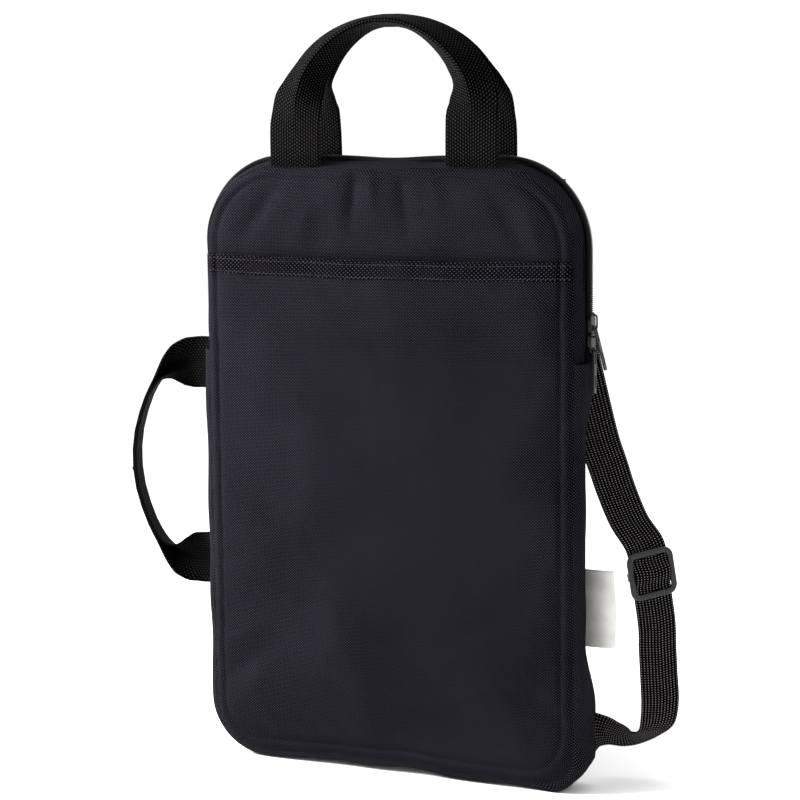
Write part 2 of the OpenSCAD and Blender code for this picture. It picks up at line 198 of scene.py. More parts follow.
# Smooth curve through given points, at even steps
def smoothThrough(points, count):
    p = np.asarray(points, float)
    ends = np.vstack([2 * p[0] - p[1], p, 2 * p[-1] - p[-2]])
    out = []
    for i in range(len(p) - 1):
        a, b, c, d = ends[i:i + 4]
        for t in np.linspace(0, 1, 24, endpoint=False):
            out.append(0.5 * (2 * b + (c - a) * t + (2 * a - 5 * b + 4 * c - d) * t * t
                              + (3 * b - a - 3 * c + d) * t ** 3))
    out = np.array(out + [p[-1]])
    width = min(3, out.shape[1])
    s = np.concatenate([[0], np.cumsum(np.linalg.norm(np.diff(out[:, :width], axis=0), axis=1))])
    even = np.linspace(0, s[-1], count)
    return np.stack([np.interp(even, s, out[:, k]) for k in range(out.shape[1])], 1)


# Smooth, repeatable unevenness between -1 and 1
def ripple(a, b, seed, scale):
    rng = np.random.RandomState(seed)
    total = 0
    for k in range(7):
        angle, phase = rng.uniform(0, math.pi), rng.uniform(0, 2 * math.pi)
        rate = rng.uniform(0.6, 1.7) / scale
        total = total + np.sin(2 * math.pi * rate * (a * math.cos(angle) + b * math.sin(angle)) + phase)
    return total / 4


# The seam line round the panels
def seamLine(step):
    points, normals = [], []

    def straight(x0, z0, x1, z1, nx, nz):
        n = max(2, int(math.hypot(x1 - x0, z1 - z0) / step))
        for t in np.linspace(0, 1, n, endpoint=False):
            points.append((x0 + (x1 - x0) * t, z0 + (z1 - z0) * t))
            normals.append((nx, nz))

    def arc(cx, cz, r, start, stop):
        n = max(6, int(r * abs(stop - start) / step))
        for a in np.linspace(start, stop, n, endpoint=False):
            points.append((cx + r * math.cos(a), cz + r * math.sin(a)))
            normals.append((math.cos(a), math.sin(a)))

    rT, rL = body["topRadius"], body["lowRadius"]
    half = math.pi / 2
    straight(0, seamLow, seamX - rL, seamLow, 0, -1)
    arc(seamX - rL, seamLow + rL, rL, -half, 0)
    straight(seamX, seamLow + rL, seamX, seamHigh - rT, 1, 0)
    arc(seamX - rT, seamHigh - rT, rT, 0, half)
    straight(seamX - rT, seamHigh, -(seamX - rT), seamHigh, 0, 1)
    arc(-(seamX - rT), seamHigh - rT, rT, half, 2 * half)
    straight(-seamX, seamHigh - rT, -seamX, seamLow + rL, -1, 0)
    arc(-(seamX - rL), seamLow + rL, rL, 2 * half, 3 * half)
    straight(-(seamX - rL), seamLow, 0, seamLow, 0, -1)
    return np.array(points), np.array(normals)


# The stretch of the seam line that the zip runs on, from the right end over the top
def zipLine(step, low):
    points, normals = seamLine(step)
    first = np.argmax((points[:, 0] > 0) & (points[:, 1] > low))
    last = len(points) - np.argmax(((points[:, 0] < 0) & (points[:, 1] > low))[::-1])
    points, normals = points[first:last], normals[first:last]
    points = np.vstack([[seamX, low], points, [-seamX, low]])
    normals = np.vstack([[1, 0], normals, [-1, 0]])
    return points, normals


# The rest of the seam line, from the left end under the base to the right end
def baseLine(step, high):
    points, normals = seamLine(step)
    keep = points[:, 1] < high
    half = len(points) // 2
    right = [i for i in range(half) if keep[i]]
    left = [i for i in range(half, len(points)) if keep[i]]
    order = left + right
    p = np.vstack([[-seamX, high], points[order], [seamX, high]])
    n = np.vstack([[-1, 0], normals[order], [1, 0]])
    return p, n


# A closed section of (n, y) points swept along a line, optionally wavy
def sweptBand(name, line, section, material, wave=None, closed=True):
    points, normals = line
    s = np.concatenate([[0], np.cumsum(np.linalg.norm(np.diff(points, axis=0), axis=1))])
    section = np.asarray(section, float)
    grid = np.zeros((len(points), len(section), 3))
    for k, (n, y) in enumerate(section):
        lift = n + (wave(s, y) if wave is not None else 0)
        grid[:, k, 0] = points[:, 0] + normals[:, 0] * lift
        grid[:, k, 1] = y
        grid[:, k, 2] = points[:, 1] + normals[:, 1] * lift
    piece = gridPiece(name, grid, material, closeColumns=closed, capEnds=closed)
    return facedOutwards(piece) if closed else piece


# Distance in from the seam line at each point of a panel
def insideBy(x, z):
    middle = (seamLow + seamHigh) / 2
    r = np.where(z > middle, body["topRadius"], body["lowRadius"])
    qx = np.abs(x) - seamX + r
    qz = np.abs(z - middle) - (seamHigh - seamLow) / 2 + r
    outside = np.hypot(np.maximum(qx, 0), np.maximum(qz, 0))
    return -(np.minimum(np.maximum(qx, qz), 0) + outside - r)


# Rows and columns that fill the seam outline between two heights
def panelGrid(low, high, across, step):
    rT, rL = body["topRadius"], body["lowRadius"]
    zs = []
    if low < seamLow + rL:
        start = max(-1.0, (low - seamLow - rL) / rL)
        a0 = math.asin(start)
        zs += [seamLow + rL + rL * math.sin(a) for a in np.linspace(a0, 0, 26, endpoint=False)]
    z0, z1 = max(low, seamLow + rL), min(high, seamHigh - rT)
    zs += list(np.linspace(z0, z1, max(2, int((z1 - z0) / step)), endpoint=False))
    if high > seamHigh - rT:
        a1 = math.asin(min(1.0, (high - seamHigh + rT) / rT))
        zs += [seamHigh - rT + rT * math.sin(a) for a in np.linspace(0, a1, 34)]
    else:
        zs.append(z1)
    zs = np.array(zs)
    half = np.full(len(zs), seamX)
    up = zs > seamHigh - rT
    half[up] = seamX - rT + np.sqrt(np.maximum(rT ** 2 - (zs[up] - seamHigh + rT) ** 2, 0))
    dn = zs < seamLow + rL
    half[dn] = seamX - rL + np.sqrt(np.maximum(rL ** 2 - (zs[dn] - seamLow - rL) ** 2, 0))
    u = np.linspace(-1, 1, across)
    u = np.sign(u) * (1 - (1 - np.abs(u)) ** 1.15)  # finer towards the seams
    return half[:, None] * u[None, :], np.repeat(zs[:, None], across, 1)


# Materials
class Shader:
    def __init__(self, name):
        self.material = bpy.data.materials.new(name)
        self.material.use_nodes = True
        self.nodes = self.material.node_tree.nodes
        self.links = self.material.node_tree.links
        self.bsdf = self.nodes["Principled BSDF"]

    def put(self, socket, value):
        if isinstance(value, bpy.types.NodeSocket):
            self.links.new(value, socket)
        else:
            socket.default_value = value

    def math(self, operation, a, b=0.0, clamp=False):
        node = self.nodes.new("ShaderNodeMath")
        node.operation = operation
        node.use_clamp = clamp
        self.put(node.inputs[0], a)
        self.put(node.inputs[1], b)
        return node.outputs[0]

    def wave(self, coordinate, period, shift=0.0):
        turns = self.math("MULTIPLY", coordinate, 2 * math.pi / period)
        sine = self.math("SINE", self.math("ADD", turns, shift))
        return self.math("ADD", self.math("MULTIPLY", sine, 0.5), 0.5)

    def coordinates(self, kind):
        node = self.nodes.new("ShaderNodeTexCoord")
        split = self.nodes.new("ShaderNodeSeparateXYZ")
        self.links.new(node.outputs[kind], split.inputs[0])
        return node.outputs[kind], split.outputs

    def noise(self, vector, scale, detail=2.0, roughness=0.5):
        node = self.nodes.new("ShaderNodeTexNoise")
        node.inputs["Scale"].default_value = scale
        node.inputs["Detail"].default_value = detail
        node.inputs["Roughness"].default_value = roughness
        self.links.new(vector, node.inputs["Vector"])
        return node.outputs[0]

    def blendColour(self, factor, dark, light):
        node = self.nodes.new("ShaderNodeMix")
        node.data_type = "RGBA"
        self.put(node.inputs[0], factor)
        for socket, value in ((node.inputs[6], dark), (node.inputs[7], light)):
            self.put(socket, value if isinstance(value, bpy.types.NodeSocket) else linear(value))
        return node.outputs[2]

    def ramp(self, factor, low, high):
        node = self.nodes.new("ShaderNodeMapRange")
        node.inputs["From Min"].default_value = low
        node.inputs["From Max"].default_value = high
        self.put(node.inputs["Value"], factor)
        return node.outputs[0]

    def bump(self, height, strength, distance):
        node = self.nodes.new("ShaderNodeBump")
        node.inputs["Strength"].default_value = strength
        node.inputs["Distance"].default_value = distance
        self.links.new(height, node.inputs["Height"])
        self.links.new(node.outputs[0], self.bsdf.inputs["Normal"])

    def surface(self, **values):
        for name, value in values.items():
            self.put(self.bsdf.inputs[socketNames[name]], value)
        return self.material


socketNames = {"colour": "Base Color", "roughness": "Roughness", "metallic": "Metallic",
               "sheen": "Sheen Weight", "specular": "Specular IOR Level",
               "coat": "Coat Weight", "coatRoughness": "Coat Roughness"}


# An sRGB colour of 0 to 255 as a linear one
def linear(rgb):
    def one(v):
        v = v / 255
        return v / 12.92 if v <= 0.04045 else ((v + 0.055) / 1.055) ** 2.4
    return (one(rgb[0]), one(rgb[1]), one(rgb[2]), 1.0)


# Twill cloth: fine slanting ridges, each broken into short thread floats; the weave is the cloth's own, and
# the light colour on its tops is painted highlight
twillLook = {"slope": 0.85, "floatPitch": 1.15, "floatShare": 0.8, "sharpness": 7.0, "cloud": 0.02,
             "relief": 0.22 * mm, "roughness": 0.86}


def twill(name, dark, light, pitch, coordinate="Object", axes=(0, 2), strength=0.5, worn=0.35):
    s = Shader(name)
    vector, xyz = s.coordinates(coordinate)
    a, b = xyz[axes[0]], xyz[axes[1]]
    drift = s.math("MULTIPLY", s.noise(vector, 30, 1.0), pitch * 0.8)
    slant = s.math("ADD", s.math("SUBTRACT", b, s.math("MULTIPLY", a, twillLook["slope"])), drift)
    ridge = s.wave(slant, pitch)
    floats = s.wave(s.math("ADD", s.math("MULTIPLY", a, 0.9), b), pitch * twillLook["floatPitch"])
    share = twillLook["floatShare"]
    weave = s.math("MULTIPLY", ridge, s.math("ADD", s.math("MULTIPLY", floats, share), 1 - share))
    yarn = s.ramp(s.noise(vector, 1.3 / pitch, 1, 0.5), 0.3, 0.7)
    cloud = s.ramp(s.noise(vector, 14, 3, 0.55), 0.3, 0.7)
    # painted highlights: the sharpened weave puts the light colour on the thread tops only, standing in for
    # the yarn's glints
    tone = s.math("POWER", weave, twillLook["sharpness"])
    tone = s.math("MULTIPLY", tone, s.math("ADD", s.math("MULTIPLY", yarn, worn), 1 - worn))
    tone = s.math("ADD", tone, s.math("MULTIPLY", cloud, twillLook["cloud"]), clamp=True)
    s.bump(weave, strength, twillLook["relief"])
    return s.surface(colour=s.blendColour(tone, dark, light), specular=0.006,
                     roughness=s.math("ADD", s.math("MULTIPLY", weave, -0.1), twillLook["roughness"]))


# Webbing: thick threads in chevrons either side of the middle, crossed by weft; the weave is the webbing's
# own, and the light colour on the thread tops is painted highlight
webbingLook = {"sharpness": 5.0, "fleck": 0.4, "relief": 0.6 * mm}


def webbingMaterial(name, dark, light, width, warp, weft, chevron):
    s = Shader(name)
    vector, uv = s.coordinates("UV")
    along, across = uv[0], uv[1]
    offset = s.math("ABSOLUTE", s.math("SUBTRACT", across, width / 2))
    rows = s.wave(s.math("ADD", along, s.math("MULTIPLY", offset, chevron)), weft)
    columns = s.wave(across, warp, 0.4)
    threads = s.math("MULTIPLY", rows, columns)
    fleck = s.ramp(s.noise(vector, 0.5 / warp, 2, 0.6), 0.35, 0.7)
    # painted highlights: the sharpened threads put the light colour on the thread tops only
    tone = s.math("MULTIPLY", s.math("POWER", threads, webbingLook["sharpness"]),
                  s.math("ADD", s.math("MULTIPLY", fleck, webbingLook["fleck"]), 1 - webbingLook["fleck"]),
                  clamp=True)
    s.bump(s.math("ADD", threads, s.math("MULTIPLY", fleck, 0.3)), 0.9, webbingLook["relief"])
    return s.surface(colour=s.blendColour(tone, dark, light), roughness=0.6, specular=0.01)


# Moulded plastic, painted metal or thread, faintly mottled
def plainMaterial(name, colour, roughness, metallic=0.0, grain=400, strength=0.15, coat=0.0, specular=0.3):
    s = Shader(name)
    vector = s.coordinates("Object")[0]
    mottle = s.ramp(s.noise(vector, grain, 3, 0.6), 0.3, 0.7)
    lighter = tuple(min(255, c * 1.35 + 6) for c in colour)
    s.bump(mottle, strength, 0.00012)
    return s.surface(colour=s.blendColour(mottle, colour, lighter), metallic=metallic, coat=coat,
                     coatRoughness=0.25, specular=specular,
                     roughness=s.math("ADD", s.math("MULTIPLY", mottle, 0.12), roughness))


# Satin ribbon: fine threads, in painted shade by the bag and lighter towards its outer edge in painted
# light
def satinMaterial(name, dark, light, inner, outer):
    s = Shader(name)
    vector, xyz = s.coordinates("Object")
    threads = s.wave(xyz[2], 0.0005)
    cloud = s.math("MULTIPLY", s.ramp(s.noise(vector, 60, 3, 0.5), 0.3, 0.7), 0.25)
    # painted light and shade: a ramp runs from painted shade at the inner edge to painted light at the
    # outer edge
    edge = s.math("MULTIPLY", s.ramp(xyz[0], inner, outer), 0.75)
    s.bump(threads, 0.2, 0.0001)
    return s.surface(colour=s.blendColour(s.math("ADD", cloud, edge), dark, light),
                     roughness=0.42, sheen=0.1, specular=0.5)


# Each twill's light colour is the painted highlight on its thread tops
shellCloth = twill("shellTwill", (1, 1, 2), (95, 93, 105), 0.0018)
wallCloth = twill("wallTwill", (1, 1, 2), (106, 104, 114), 0.0018, "UV", (0, 1))
liningCloth = twill("liningCloth", (34, 34, 38), (80, 80, 86), 0.0007, strength=0.25)
tapeCloth = twill("zipTapeKnit", (4, 4, 5), (40, 39, 44), 0.0009, "UV", (0, 1), strength=0.7)
bindingCloth = twill("bindingTwill", (1, 1, 2), (90, 85, 94), 0.0026)
# Each webbing's light colour is the painted highlight on its thread tops
gripWebbing = webbingMaterial("handleWebbing", (1, 1, 1), (72, 67, 70), 0.038, 0.0019, 0.0024, 0.6)
strapWebbing = webbingMaterial("strapWebbing", (1, 1, 1), (168, 159, 165), 0.030, 0.0026, 0.0017, 0.12)
coilPlastic = plainMaterial("coilPlastic", (6, 6, 7), 0.5, grain=900, strength=0.05, specular=0.1)
sliderMetal = plainMaterial("sliderMetal", (13, 13, 15), 0.38, 0.5, grain=700, strength=0.08, coat=0.1)
glidePlastic = plainMaterial("glidePlastic", (22, 22, 24), 0.42, grain=1500, strength=0.2)
threadCloth = plainMaterial("threadCloth", (9, 9, 11), 0.7, grain=2500, strength=0.3)
# The label blends from its dark colour, painted shade by the bag, to its light colour, painted light at its
# outer edge
labelSatin = satinMaterial("labelSatin", (120, 119, 116), (222, 221, 217), seamX, seamX + 17 * mm)
print("materials made")


# The right wall leans in towards the back, and the top sags between the handles
slump = {"leanIn": 8 * mm, "leanLow": 58 * mm, "leanHigh": 300 * mm, "topSag": 1.8 * mm, "press": 6 * mm}


def relaxed(piece):
    p = np.array([v.co for v in piece.data.vertices])
    x, y, z = p[:, 0].copy(), p[:, 1].copy(), p[:, 2].copy()
    lean = np.clip((z - slump["leanLow"]) / (50 * mm), 0, 1)
    lean = lean * np.clip((slump["leanHigh"] - z) / (60 * mm), 0, 1)
    lean = lean * lean * (3 - 2 * lean) * np.clip((x - 95 * mm) / (43 * mm), 0, 1) ** 2
    back = np.clip((y + halfDepth) / (2 * halfDepth), 0, 1)
    p[:, 0] = x - lean * back * slump["leanIn"]
    p[:, 1] = y - lean * np.maximum(y, 0) * 0.12
    high = np.clip((z - 395 * mm) / (36 * mm), 0, 1)
    p[:, 2] = z - slump["topSag"] * high * np.exp(-(x / (26 * mm)) ** 2)
    # the lower right corner is pressed out squarer than the others
    radius = body["lowRadius"]
    rx = np.clip((x - seamX + radius) / radius, 0, 1.2)
    rz = np.clip((seamLow + radius - z) / radius, 0, 1.2)
    press = slump["press"] * np.clip(4 * rx ** 2 * rz ** 2, 0, 1)
    p[:, 0] += 0.7 * press
    p[:, 2] = np.maximum(p[:, 2] - 0.7 * press, 0.2 * mm)
    piece.data.vertices.foreach_set("co", p.astype(np.float32).ravel())
    piece.data.update()
    return piece


# Sheet settled as cloth: held where told, swelling slightly into soft waves
clothLook = {"quality": 5, "stretch": 30, "bending": 6, "moments": 20, "inwards": 0.3 * mm}


def clothSettled(grid, held, pressure, spare, cap):
    coarse = grid[::2, ::2]
    rows, columns = coarse.shape[:2]
    faces = [(r * columns + c, r * columns + c + 1, (r + 1) * columns + c + 1, (r + 1) * columns + c)
             for r in range(rows - 1) for c in range(columns - 1)]
    sheet = newPiece("settling", coarse.reshape(-1, 3), faces, shellCloth)
    group = sheet.vertex_groups.new(name="held")
    for i in np.flatnonzero(held[::2, ::2].ravel()):
        group.add([int(i)], 1.0, "REPLACE")
    cloth = sheet.modifiers.new("cloth", "CLOTH")
    cloth.settings.vertex_group_mass = "held"
    cloth.settings.quality = clothLook["quality"]
    cloth.settings.tension_stiffness = clothLook["stretch"]
    cloth.settings.compression_stiffness = clothLook["stretch"]
    cloth.settings.bending_stiffness = clothLook["bending"]
    cloth.settings.shrink_min = -spare
    cloth.settings.use_pressure = True
    cloth.settings.uniform_pressure_force = pressure
    cloth.settings.effector_weights.gravity = 0
    cloth.collision_settings.use_collision = False
    scene = bpy.context.scene
    for moment in range(1, clothLook["moments"] + 1):
        scene.frame_set(moment)
    done = sheet.evaluated_get(bpy.context.evaluated_depsgraph_get()).data
    moved = np.array([v.co for v in done.vertices]).reshape(rows, columns, 3) - coarse
    scene.frame_set(1)
    bpy.data.objects.remove(sheet)
    outwards = np.sign(grid[..., 1].mean())
    push = np.clip(moved[..., 1] * outwards, -clothLook["inwards"], cap)
    for _ in range(2):
        push[1:-1, 1:-1] = (push[:-2, 1:-1] + push[2:, 1:-1] + push[1:-1, :-2] + push[1:-1, 2:]
                            + 2 * push[1:-1, 1:-1]) / 6
    across = np.linspace(0, columns - 1, grid.shape[1])
    wide = np.array([np.interp(across, np.arange(columns), row) for row in push])
    upwards = np.linspace(0, rows - 1, grid.shape[0])
    full = np.array([np.interp(upwards, np.arange(rows), wide[:, c]) for c in range(grid.shape[1])]).T
    print("cloth settled, most", round(float(full.max()) * 1000, 2), "mm")
    settled = grid.copy()
    settled[..., 1] += outwards * full
    return settled


# Padded panels
pads = {"bulge": 3.4 * mm, "lip": 3.2 * mm, "lipReach": 4 * mm, "bulgeReach": 38 * mm,
        "seamDip": 1.1 * mm, "innerY": 12.4 * mm, "step": 3.2 * mm, "columns": 130,
        "rollAt": 4.2 * mm, "rollHigh": 0.7 * mm, "lineAt": 8.6 * mm, "lineDeep": 1.3 * mm,
        "heldEdge": 11 * mm, "creaseGain": 1.7, "backBulge": 0.4 * mm, "tabDent": 1.9 * mm,
        "creases": [(-22, 412, 4, 22, 4, -1.5), (-8, 416, -6, 18, 3.5, 1.1), (16, 410, -9, 22, 4.5, -1.3),
                    (40, 414, -14, 16, 4, 0.8), (-95, 398, 38, 26, 6, -1.5), (-60, 390, 25, 18, 6, 1.0),
                    (92, 396, -34, 26, 7, -1.3), (112, 384, -20, 20, 5, 0.8), (0, 384, 85, 60, 7, -0.9)]}


# The middle of the base sits a little up off the floor at the front
def settle(points):
    p = np.array(points, float)
    x, y, z = p[..., 0], p[..., 1], p[..., 2]
    lift = 3.6 * mm * np.exp(-((x + 6 * mm) / (62 * mm)) ** 2)
    lift = lift - 1.2 * mm * np.exp(-((x - 74 * mm) / (20 * mm)) ** 2)
    lift = lift + 0.8 * mm * np.sin(x / (9.5 * mm)) * np.exp(-((x - 20 * mm) / (70 * mm)) ** 2)
    reach = np.exp(-np.maximum(z - seamLow, 0) / (30 * mm))
    frontness = np.clip((4 * mm - y) / (18 * mm), 0, 1)
    p[..., 2] = z + np.maximum(lift, 0) * reach * frontness
    return p


# An outer and an inner sheet closed round the rim, the inner one in lining
def padPiece(name, outer, inner, outerMaterial, innerMaterial):
    rows, columns = outer.shape[:2]
    count = rows * columns
    verts = np.vstack([outer.reshape(-1, 3), inner.reshape(-1, 3)])
    faces, inside = [], []
    for r in range(rows - 1):
        for c in range(columns - 1):
            a = r * columns + c
            quad = (a, a + 1, a + columns + 1, a + columns)
            faces.append(quad)
            inside.append(0)
            faces.append(tuple(i + count for i in quad[::-1]))
            inside.append(1)
    rim = ([r * columns for r in range(rows)], [r * columns + columns - 1 for r in range(rows)],
           list(range(columns)), [(rows - 1) * columns + c for c in range(columns)])
    for line in rim:
        for i, j in zip(line[:-1], line[1:]):
            faces.append((i, j, j + count, i + count))
            inside.append(0)
    piece = newPiece(name, verts, faces, outerMaterial)
    piece.data.materials.append(innerMaterial)
    piece.data.polygons.foreach_set("material_index", inside)
    return facedOutwards(piece)


# How far out a padded panel stands
def pillow(x, z, bulge):
    d = np.maximum(insideBy(x, z), 0)
    rise = pads["lip"] * (1 - np.exp(-d / pads["lipReach"]))
    return halfDepth - pads["seamDip"] + rise * 0.75 + bulge * (1 - np.exp(-d / pads["bulgeReach"]))


# Small gathers by the seam and broad waves inside it
def puckers(x, z, seed):
    d = np.maximum(insideBy(x, z), 0)
    fine = ripple(x, z, seed, 21 * mm) * 0.35 * mm * np.exp(-d / (11 * mm))
    broad = ripple(x, z, seed + 5, 120 * mm) * 0.9 * mm * (1 - np.exp(-d / (30 * mm)))
    return fine * (1 - np.exp(-d / (1.5 * mm))) + broad


# Turned edge: a roll of seam allowance, then the pulled-in line that holds it
def edgeRoll(x, z):
    d = insideBy(x, z)
    roll = np.exp(-((d - pads["rollAt"]) / (2.2 * mm)) ** 2)
    line = np.exp(-((d - pads["lineAt"]) / (1.7 * mm)) ** 2)
    return pads["rollHigh"] * roll - pads["lineDeep"] * line * (1 + 0.35 * ripple(x, z, 31, 17 * mm))


# Soft creases: middle, slant, half length, half width and depth of each
def creased(x, z, creases):
    y = np.zeros_like(x)
    for x0, z0, slant, reach, width, depth in creases:
        a = math.radians(slant)
        across = (x - x0 * mm) * math.cos(a) - (z - z0 * mm) * math.sin(a)
        along = (x - x0 * mm) * math.sin(a) + (z - z0 * mm) * math.cos(a)
        y += depth * mm * np.exp(-(across / (width * mm)) ** 2 - (along / (reach * mm)) ** 2)
    return y


def makeFrontPanel():
    x, z = panelGrid(seamLow, seamHigh, pads["columns"], pads["step"])
    above = 1 / (1 + np.exp(-(z - body["mouth"] - 1 * mm) / (2.5 * mm)))
    y = pillow(x, z, pads["bulge"]) + puckers(x, z, 3)
    fade = 1 - np.exp(-(np.maximum(insideBy(x, z), 0) / (3 * mm)) ** 2)
    y = y + fade * pads["creaseGain"] * creased(x, z, pads["creases"]) + edgeRoll(x, z)
    y = above * y + (1 - above) * (halfDepth - 0.6 * mm)
    edge = np.clip(insideBy(x, z) / (2.5 * mm), 0, 1)
    y = y * edge + (halfDepth - pads["seamDip"]) * (1 - edge)
    held = (insideBy(x, z) < pads["heldEdge"]) | (z < body["mouth"] + 2 * mm)
    outer = settle(clothSettled(np.stack([x, -y, z], 2), held, -0.6, 0.006, 1.6 * mm))
    middle = (seamLow + seamHigh) / 2
    inner = np.stack([x * 0.993, np.full_like(x, -pads["innerY"]), middle + (z - middle) * 0.995], 2)
    panel = relaxed(padPiece("frontPanel", outer, settle(inner), shellCloth, liningCloth))
    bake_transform(panel)
    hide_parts("front_panel_lower", "front_foam_lower", "front_lining_lower",
                "front_panel_upper", "front_foam_upper", "front_lining_upper")


def makeBackPanel():
    x, z = panelGrid(seamLow, seamHigh, pads["columns"], pads["step"])
    y = pillow(x, z, pads["backBulge"]) + puckers(x, z, 11) * 0.5
    # pulled in where the strap's top tab is sewn on
    dent = np.exp(-((x - 103 * mm) / (38 * mm)) ** 2 - ((z - 372 * mm) / (50 * mm)) ** 2)
    y = y - pads["tabDent"] * dent
    edge = np.clip(insideBy(x, z) / (2.5 * mm), 0, 1)
    y = y * edge + (halfDepth - pads["seamDip"]) * (1 - edge)
    middle = (seamLow + seamHigh) / 2
    outer = clothSettled(np.stack([x, y, z], 2), insideBy(x, z) < 4 * mm, 0.6, 0.006, 0.9 * mm)
    inner = np.stack([x * 0.993, np.full_like(x, pads["innerY"]), middle + (z - middle) * 0.995], 2)
    panel = relaxed(padPiece("backPanel", outer, inner, shellCloth, liningCloth))
    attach(panel, "shell")
    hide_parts("back_panel", "back_foam", "back_lining")


# Pocket
pocket = {"sag": 2.4 * mm, "fabric": 0.9 * mm, "tapeThick": 0.55 * mm, "rib": 0.2 * mm,
          "ribPitch": 2.1 * mm, "edgeTop": 360 * mm, "heldTop": 14 * mm, "creaseGain": 1.5,
          "stitch": 2.3 * mm, "stitchPitch": 3.1 * mm, "lip": 3.6 * mm, "bulge": 3.2 * mm,
          "creases": [(-120, 90, 62, 24, 6, 1.3), (-112, 70, 55, 26, 7, -1.5), (-126, 150, 75, 16, 5, -1.0),
                      (118, 60, -48, 26, 7, -1.5), (100, 40, -40, 24, 6, 1.1), (30, 300, 3, 55, 9, -1.0),
                      (70, 190, -8, 70, 12, -1.0), (-60, 210, 6, 60, 12, 1.0), (122, 230, -78, 16, 5, -0.9),
                      (-20, 60, -20, 40, 9, 1.0), (-126, 300, 80, 14, 5, -0.8),
                      (124, 330, -70, 14, 5, 0.8)]}


# Height of the pocket's mouth, which sags and wavers between its ends
def mouthAt(x):
    sag = pocket["sag"] * (1 - (x / seamX) ** 2)
    return body["mouth"] - sag + 0.35 * mm * np.sin(x / (13 * mm)) * (1 - (x / seamX) ** 2)


# How far out the pocket stands
def pocketDepth(x, z):
    low = np.minimum(z, body["mouth"])
    d = np.maximum(insideBy(x, low), 0)
    y = halfDepth - pads["seamDip"] + pocket["lip"] * (1 - np.exp(-d / (4 * mm)))
    y = y + pocket["bulge"] * (1 - np.exp(-d / (45 * mm)))
    towardsMouth = np.exp(-np.maximum(body["mouth"] - z, 0) / (26 * mm))
    y = y - towardsMouth * 1.0 * mm * (1 - np.exp(-d / (20 * mm)))
    y = y + puckers(x, low, 21)
    crease = np.exp(-((x + 8 * mm + (z - 0.27) * 0.06) / (7 * mm)) ** 2)
    crease = crease * np.exp(-((z - 0.275) / (62 * mm)) ** 2)
    slant = (x - 40 * mm) * 0.5 + (z - 0.1) * 0.86
    fold = np.exp(-(slant / (13 * mm)) ** 2) * np.exp(-((x - 30 * mm) / (60 * mm)) ** 2)
    y = y - 0.9 * mm * crease - 0.7 * mm * fold
    fade = 1 - np.exp(-(d / (3 * mm)) ** 2)
    return y + fade * pocket["creaseGain"] * creased(x, low, pocket["creases"]) + edgeRoll(x, low)


def makePocket():
    x, z = panelGrid(seamLow, body["mouth"], 190, 2.4 * mm)
    share = np.clip((z - seamLow) / (body["mouth"] - seamLow), 0, 1) ** 6
    zMoved = z + (mouthAt(x) - body["mouth"]) * share
    y = pocketDepth(x, z)
    inside = insideBy(x, np.minimum(z, pocket["edgeTop"]))
    edge = np.clip(inside / (2 * mm), 0, 1)
    y = y * edge + (halfDepth - pads["seamDip"] + 0.5 * mm) * (1 - edge)
    held = (inside < pads["heldEdge"]) | (z > body["mouth"] - pocket["heldTop"])
    sheet = clothSettled(np.stack([x, -y, zMoved], 2), held, -0.6, 0.008, 1.8 * mm)
    panel = gridPiece("pocketPanel", settle(sheet), shellCloth)
    thickened(panel, pocket["fabric"])
    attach(panel, "shell")
    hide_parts("pocket_panel")

    xs = np.linspace(-seamX + 0.5 * mm, seamX - 0.5 * mm, 790)
    profile = [(-0.9, -12), (-1.0, -11.6), (-1.0, -8), (-1.0, -4), (-1.0, -1), (-0.9, 0.1),
               (-0.3, 0.7), (0.4, 0.7), (0.9, 0.1), (1.0, -3), (1.0, -10.5)]
    dense = smoothThrough(profile, 44) * mm
    grid = np.zeros((len(dense), len(xs), 3))
    for k, (dy, dz) in enumerate(dense):
        depth = pocketDepth(xs, np.full_like(xs, body["mouth"] - 0.5 * mm) + min(dz, 0))
        edge = np.clip((seamX - np.abs(xs)) / (2 * mm), 0, 1)
        depth = depth * edge + (halfDepth - 0.4 * mm) * (1 - edge)
        rib = pocket["rib"] * np.sin((xs - dz * 0.9) * 2 * math.pi / pocket["ribPitch"])
        grid[k, :, 0] = xs
        grid[k, :, 1] = -depth + dy + np.sign(dy) * rib
        grid[k, :, 2] = mouthAt(xs) + dz + 0.2 * mm
    tape = gridPiece("pocketBinding", grid, bindingCloth)
    thickened(tape, pocket["tapeThick"])
    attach(tape, "shell")
    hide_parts("pocket_binding")

    parts = []
    for dz in (-1.7 * mm, -10.4 * mm):
        for x0 in np.arange(-seamX + 3 * mm, seamX - 3 * mm, pocket["stitchPitch"]):
            t = np.linspace(0, 1, 5)
            xx = x0 + t * pocket["stitch"]
            d = pocketDepth(xx, np.full_like(xx, body["mouth"] + dz))
            yy = -d - 1.3 * mm - 0.12 * mm * np.sin(math.pi * t) + 0.1 * mm
            parts.append(tube(np.stack([xx, yy, mouthAt(xx) + dz], 1), 0.24 * mm, 6))
    stitches = newPiece("pocketStitches", *joined(parts), threadCloth)
    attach(stitches, "shell")


